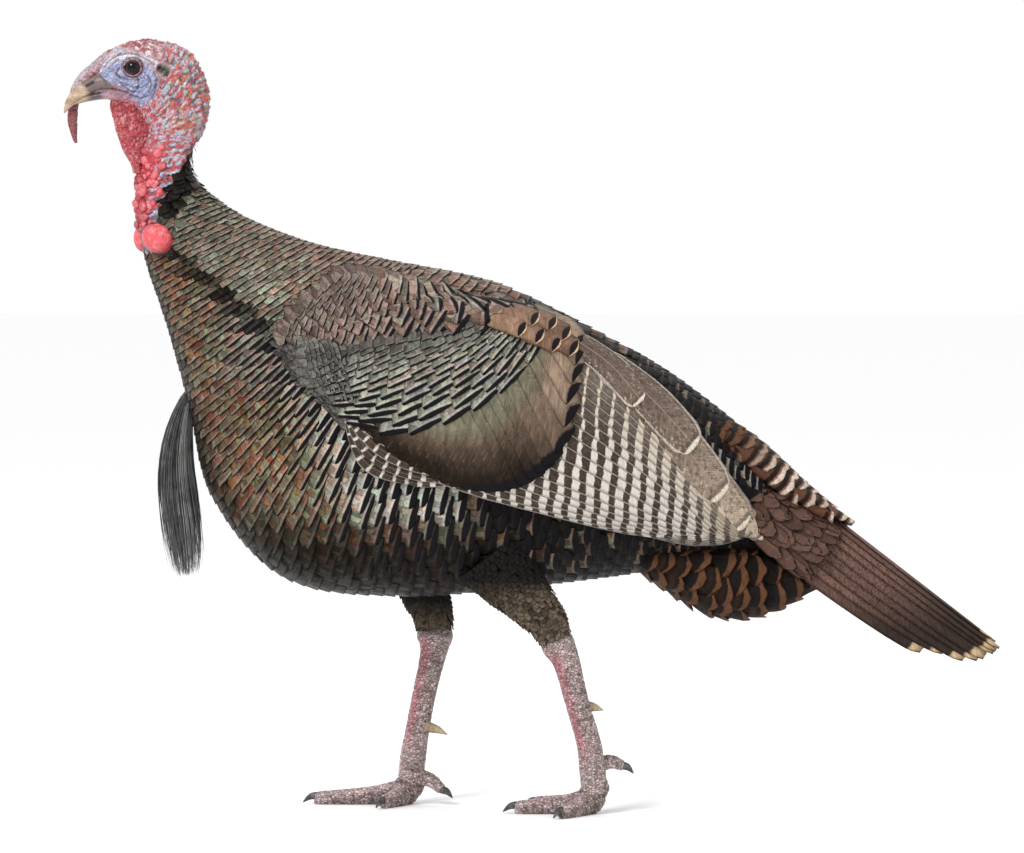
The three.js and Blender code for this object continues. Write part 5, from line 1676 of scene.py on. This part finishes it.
tail_rng = np.random.default_rng(9)
tail_s, tail_t = grid_of(QUILL_STATIONS, QUILL_COLUMNS)
tail_number = np.arange(TAIL_COUNT) - (TAIL_COUNT - 1) / 2
outer = np.abs(tail_number) / tail_number.max()
middle_turn = (tail_number / tail_number.max() * TAIL_SPREAD)[:, None, None]
quill_end = (1.0 - 0.03 * outer - 0.18 * outer**5 + tail_rng.uniform(-0.025, 0.02, TAIL_COUNT))[:, None, None]
share = -0.04 + (quill_end + 0.04) * tail_s[None]
profile = np.interp(tail_s, *SQUARE_TIP)[None]
half_turn = 0.25 + 0.02 * np.cos(middle_turn)
layer = (-0.9 * np.abs(tail_number) * 0.9)[:, None, None]
slant = np.where(tail_number > 0, 1.0, -1.0)[:, None, None]
rise = layer - 0.7 * (tail_t**2)[None] + 1.1 * slant * tail_t[None]
sway = (tail_rng.normal(0, 0.03, TAIL_COUNT)[:, None, None]) * tail_s[None] ** 2
tail_top = tail_point(share, middle_turn + sway + half_turn * profile * tail_t[None], rise)
tail_length = np.full(TAIL_COUNT, 300.0)
tail_tint = blend((0.155, 0.088, 0.07), (0.225, 0.125, 0.098), tail_rng.uniform(size=TAIL_COUNT))
tail_roots = (0.5 + middle_turn[:, 0, 0] / (2 * math.pi), np.full(TAIL_COUNT, 0.985))
tail_half = np.full(TAIL_COUNT, 14.0)
vane_mesh("tail_quills", tail_top, tail_roots, (tail_length, tail_half, tail_s[None], tail_t[None]),
          tail_tint,
          np.zeros((TAIL_COUNT, 3)), tail_quill, ("tail",))


def on_limb(limb):
    """A limb as a shape to lay vanes on, with turns that run as the body's do."""
    return lambda share, turn, out=0.0: limb_point(limb, share, -np.asarray(turn), out)


fringed, shader = shade("tail_covert")
vane = barbs()
marks = marked()
mm_from_tip = minus(marks.outputs[0], vane["SizeAlong"])
jagged = times_plus(noise(900.0, 3.0), 0.035, mm_from_tip)
scaled = maths("DIVIDE", jagged, marks.outputs[2])
dark_in = times(between(scaled, 0.11, 0.125), between(scaled, 0.17, 0.19, 1.0, 0.0))
barred_ground = mixed(times(dark_in, 0.95), tinted(), (0.012, 0.009, 0.008, 1))
browned = mixed(between(scaled, 0.11, 0.125, 1.0, 0.0), barred_ground,
                mixed(marks.outputs[1], (0.115, 0.052, 0.026, 1), (0.2, 0.095, 0.055, 1)))
white_end = mixed(between(noise(700.0, 3.0), 0.5, 0.7, 0.0, 0.4), (0.66, 0.55, 0.46, 1),
                  (0.26, 0.17, 0.12, 1))
whitened = times(between(scaled, 0.085, 0.1, 1.0, 0.0), marks.outputs[1])
ended = mixed(whitened, browned, white_end)
furrow = between(vane["Hair"], 0.3, 0.7, 0.62, 1.2)
surface(shader, multiplied(ended, furrow), 0.6, PLUMAGE_GLOSS, vane["Height"], 0.0002, 0.8)

UPPER_COVERTS = tapered([(170, 0, 384), (214, 0, 353), (262, 0, 317), (300, 0, 295), (326, 0, 285)],
                        [22, 24, 18, 10, 2], [50, 50, 44, 34, 14])
UNDER_COVERTS = tapered([(84, 0, 262), (140, 0, 246), (190, 0, 231), (240, 0, 230), (300, 0, 238)],
                        [8, 28, 40, 34, 6], [40, 56, 52, 40, 14])
ROOT_COVERTS = tapered([(172, 0, 338), (202, 0, 316), (232, 0, 294), (264, 0, 269), (300, 0, 242)],
                       [36, 42, 43, 43, 40], [38, 47, 51, 53, 52])


def covert_coat(name, limb, reach, gap, width, turns, seed, tint, marks_of, length, replaced=(), depth=0.3,
                lift=0.3, bow=0.2):
    """Rows of vanes over the coverts of the tail, along a reach of a limb."""
    place = on_limb(limb)
    u, turn, gaps, widths = coat_rows(place, *reach, lambda share: gap, lambda share: width, seed, turns)
    rng = np.random.default_rng(seed + 1)
    long = np.full(len(u), gap * length)
    top, s, t = coat_vanes(place, u, turn, long, widths * 0.72, long * depth / 3, lift + 0 * u,
                           widths * 0.06, seed,
                           VANE_STATIONS, QUILL_COLUMNS, SQUARE_TIP, 0.1, 0.01, bow=gap * bow)
    colours = tint(u, rng)
    marks = np.stack([long / 100, *marks_of(u, rng)], -1)
    vane_mesh(name, top, (turn / (2 * math.pi) + 0.5, 0.97 + 0.02 * (u - 0.5)), (long, widths * 0.72, s, t),
              colours, marks, fringed, replaced)


def upper_tint(u, rng):
    tint = blend(RUMP_BLACK, (0.135, 0.06, 0.036), ramp(u, 0.05, 0.3))
    return tint * rng.uniform(0.75, 1.2, len(u))[:, None]


def upper_marks(u, rng):
    return ramp(u, 0.18, 0.42) * rng.uniform(0.6, 1.0, len(u)), 0.8 + 0 * u


def plain_tint(low, high, power=1):
    return lambda u, rng: blend(low, high, rng.uniform(size=len(u)) ** power)


def plain_marks(low, high):
    return lambda u, rng: (0 * u, rng.uniform(low, high, len(u)))


covert_coat("tail_coverts_over", UPPER_COVERTS, (0.02, 1.02), 14.5, 22.0, (-1.9, 1.9), 171, upper_tint,
            upper_marks,
            3.0, ("tail_coverts_upper",))
covert_coat("tail_coverts_side", ROOT_COVERTS, (0.1, 1.0), 17.0, 13.0, (-2.2, 2.2), 175,
            plain_tint((0.085, 0.046, 0.035), (0.17, 0.096, 0.072)), plain_marks(0.1, 0.25), 3.2,
            depth=0.45, lift=0.7, bow=0.5)
covert_coat("tail_coverts_below", UNDER_COVERTS, (0.12, 1.04), 19.0, 26.0, (-math.pi, math.pi), 181,
            plain_tint((0.01, 0.008, 0.007), (0.045, 0.024, 0.014), 2), plain_marks(0.55, 0.95), 3.0,
            ("tail_coverts_under",), 0.6, 1.2, 0.3)

# ---- thighs, beard and bristles
# Short grey-brown down covers the legs to the hock. The beard is a tassel of coarse dark bristles, and a few
# black bristles grow from the head and the ears.

down, shader = shade("leg_down")
vane = barbs()
speck = between(noise(600.0, 4.0, 0.7), 0.35, 0.7, 0.6, 1.6)
surface(shader, multiplied(tinted(), speck), 0.85, PLUMAGE_GLOSS, vane["Height"], 0.0003, 0.8)
for name, leg in LEGS.items():
    place = on_limb(leg_limb(leg))
    u, turn, gaps, widths = coat_rows(place, 0.03, 0.44, lambda share: 4.6, lambda share: 5.6, 191)
    rng = np.random.default_rng(192)
    long = np.full(len(u), 13.0)
    lift = -0.2 + rng.uniform(-0.4, 0.7, len(u))
    top, s, t = coat_vanes(place, u, turn, long, widths * 0.62, np.full(len(u), 3.6), lift, 0 * u + 0.3, 193,
                           VANE_STATIONS[::2], VANE_COLUMNS, ROUND_TIP, 0.22, 0.005)
    colours = blend((0.055, 0.041, 0.03), (0.2, 0.155, 0.11), rng.uniform(size=len(u)) * ramp(u, 0.0, 0.3))
    # Painted shade: the down darkens towards the top of the thigh, under the body.
    colours = blend(colours, RUMP_BLACK, 0.95 * ramp(place(u, turn, 0)[:, 2], *leg["shade"]))
    vane_mesh(f"leg_down_{name}", top, (turn / (2 * math.pi) + 0.5, 0.75 + 0.01 * u),
              (long, widths * 0.62, s, t),
              colours, np.zeros((len(u), 3)), down)


def bristle_mesh(name, paths, thick, tints, material, replaces=()):
    """Round-sided bristles along paths, each drawn out to a point."""
    count, steps = paths.shape[:2]
    ahead = unit(np.gradient(paths, axis=1))
    first = unit(np.cross(ahead, np.array([0.3, 1.0, 0.2])))
    second = np.cross(ahead, first)
    taper = np.interp(np.linspace(0, 1, steps), [0, 0.15, 0.7, 1], [0.7, 1.0, 0.8, 0.1])[None, :, None, None]
    turn = np.array([0, 1, 2]) * 2 * math.pi / 3
    ring = first[:, :, None] * np.cos(turn)[:, None] + second[:, :, None] * np.sin(turn)[:, None]
    points = (paths[:, :, None] + ring * taper * thick[:, None, None, None]).reshape(count, -1, 3)
    r, c = grid_of(np.arange(steps - 1) * 3, np.arange(3))
    after = (c + 1) % 3
    sides = np.stack([r + c, r + after, r + 3 + after, r + 3 + c], -1).reshape(-1, 4)
    each = steps * 3
    offset = (np.arange(count) * each)[:, None, None]
    quads = (sides + offset).reshape(-1, 4)
    caps = (np.array([[0, 2, 1], [each - 3, each - 2, each - 1]]) + offset).reshape(-1, 3)
    root = np.repeat(paths[:, 0], each, 0)
    patch = np.stack([np.tile([0, 1, 2], steps), np.repeat(np.arange(steps) / steps, 3)], -1)
    uvs = {"OFBake": np.stack([0.5 + 0.001 * root[:, 1], 0.3 + 0.0005 * root[:, 2]], -1)
           + 0.001 * np.tile(patch, (count, 1))}
    piece = new_piece(name, points.reshape(-1, 3), [quads, caps], [material], np.repeat(tints, each, 0),
                      None, uvs)
    if replaces:
        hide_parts(*replaces)


bristle, shader = shade("bristle")
along_hair = between(noise(60.0, 3.0), 0.35, 0.65, 0.7, 1.4)
surface(shader, multiplied(tinted(), along_hair), 0.38, 0.35)

BEARD = tapered([(-334, 0, 430), (-346, 0, 408), (-353, 0, 380), (-356, 0, 350), (-355, 0, 320),
                 (-351.5, 0, 290), (-348.5, 0, 264), (-346, 0, 242), (-345, 0, 234)],
                [3, 8, 14, 18, 20, 20.5, 19, 15, 10], [5, 8, 11, 13, 14, 14, 12, 9, 6])
BEARD_COUNT, BEARD_STEPS = 620, 16
beard_rng = np.random.default_rng(31)
reach_out = np.sqrt(beard_rng.uniform(size=BEARD_COUNT))
beard_turn = beard_rng.uniform(-math.pi, math.pi, BEARD_COUNT)
end = np.clip(1.0 - 0.42 * reach_out * beard_rng.uniform(0.2, 1.0, BEARD_COUNT) ** 1.2, 0.4, 1)
steps = np.linspace(0, 1, BEARD_STEPS)
share = steps[None] * end[:, None]
centre = along(BEARD["path"], share)
surface = limb_point(BEARD, share, np.broadcast_to(beard_turn[:, None], share.shape))
wander = np.cumsum(beard_rng.normal(0, 0.35, (BEARD_COUNT, BEARD_STEPS, 3)), axis=1) * steps[None, :, None]
beard_paths = centre + (surface - centre) * reach_out[:, None, None] * 0.97 + wander
beard_tint = blend((0.03, 0.03, 0.03), (0.26, 0.26, 0.255), beard_rng.uniform(size=BEARD_COUNT) ** 1.5)
bristle_mesh("beard_bristles", beard_paths, beard_rng.uniform(0.28, 0.6, BEARD_COUNT), beard_tint, bristle,
             ("beard",))

head_rng = np.random.default_rng(41)
HEAD_BRISTLES = 420
bristle_u, bristle_turn = head_rng.uniform(1.2, 9.0, HEAD_BRISTLES), head_rng.normal(0, 0.75, HEAD_BRISTLES)
root = body_point(bristle_u, bristle_turn)
stands = unit(root - body_point(bristle_u, bristle_turn, -8.0))
sweep = unit(body_point(bristle_u + 0.1, bristle_turn) - root)
bristle_length = head_rng.uniform(2.5, 6.0, HEAD_BRISTLES)[:, None] * (
    0.6 + 0.6 * ramp(bristle_u, 6, 9))[:, None]
way = unit(stands * 0.55 + sweep + head_rng.normal(0, 0.3, (HEAD_BRISTLES, 3)))
step = np.linspace(0, 1, 4)[None, :, None]
paths = root[:, None] - stands[:, None] * 0.4 + way[:, None] * bristle_length[:, None] * step
ear_count = 46
ear_root = np.stack([EAR_X + head_rng.normal(0, 2.4, ear_count), np.zeros(ear_count),
                     EAR_Z + head_rng.normal(1.0, 2.4, ear_count)], -1)
for side in (LEFT, RIGHT):
    ear_u, ear_turn = on_body(ear_root[:, 0], ear_root[:, 2], 1.0)
    start = body_point(ear_u, side * ear_turn, -2.5)
    lean = np.array([0.75, side * 0.55, -0.35]) + head_rng.normal(0, 0.25, (ear_count, 3))
    paths = np.concatenate([paths, start[:, None] + unit(lean)[:, None] * (6.5 * step)])
bristle_mesh("head_bristles", paths, np.full(len(paths), 0.16), np.full((len(paths), 3), 0.02), bristle)
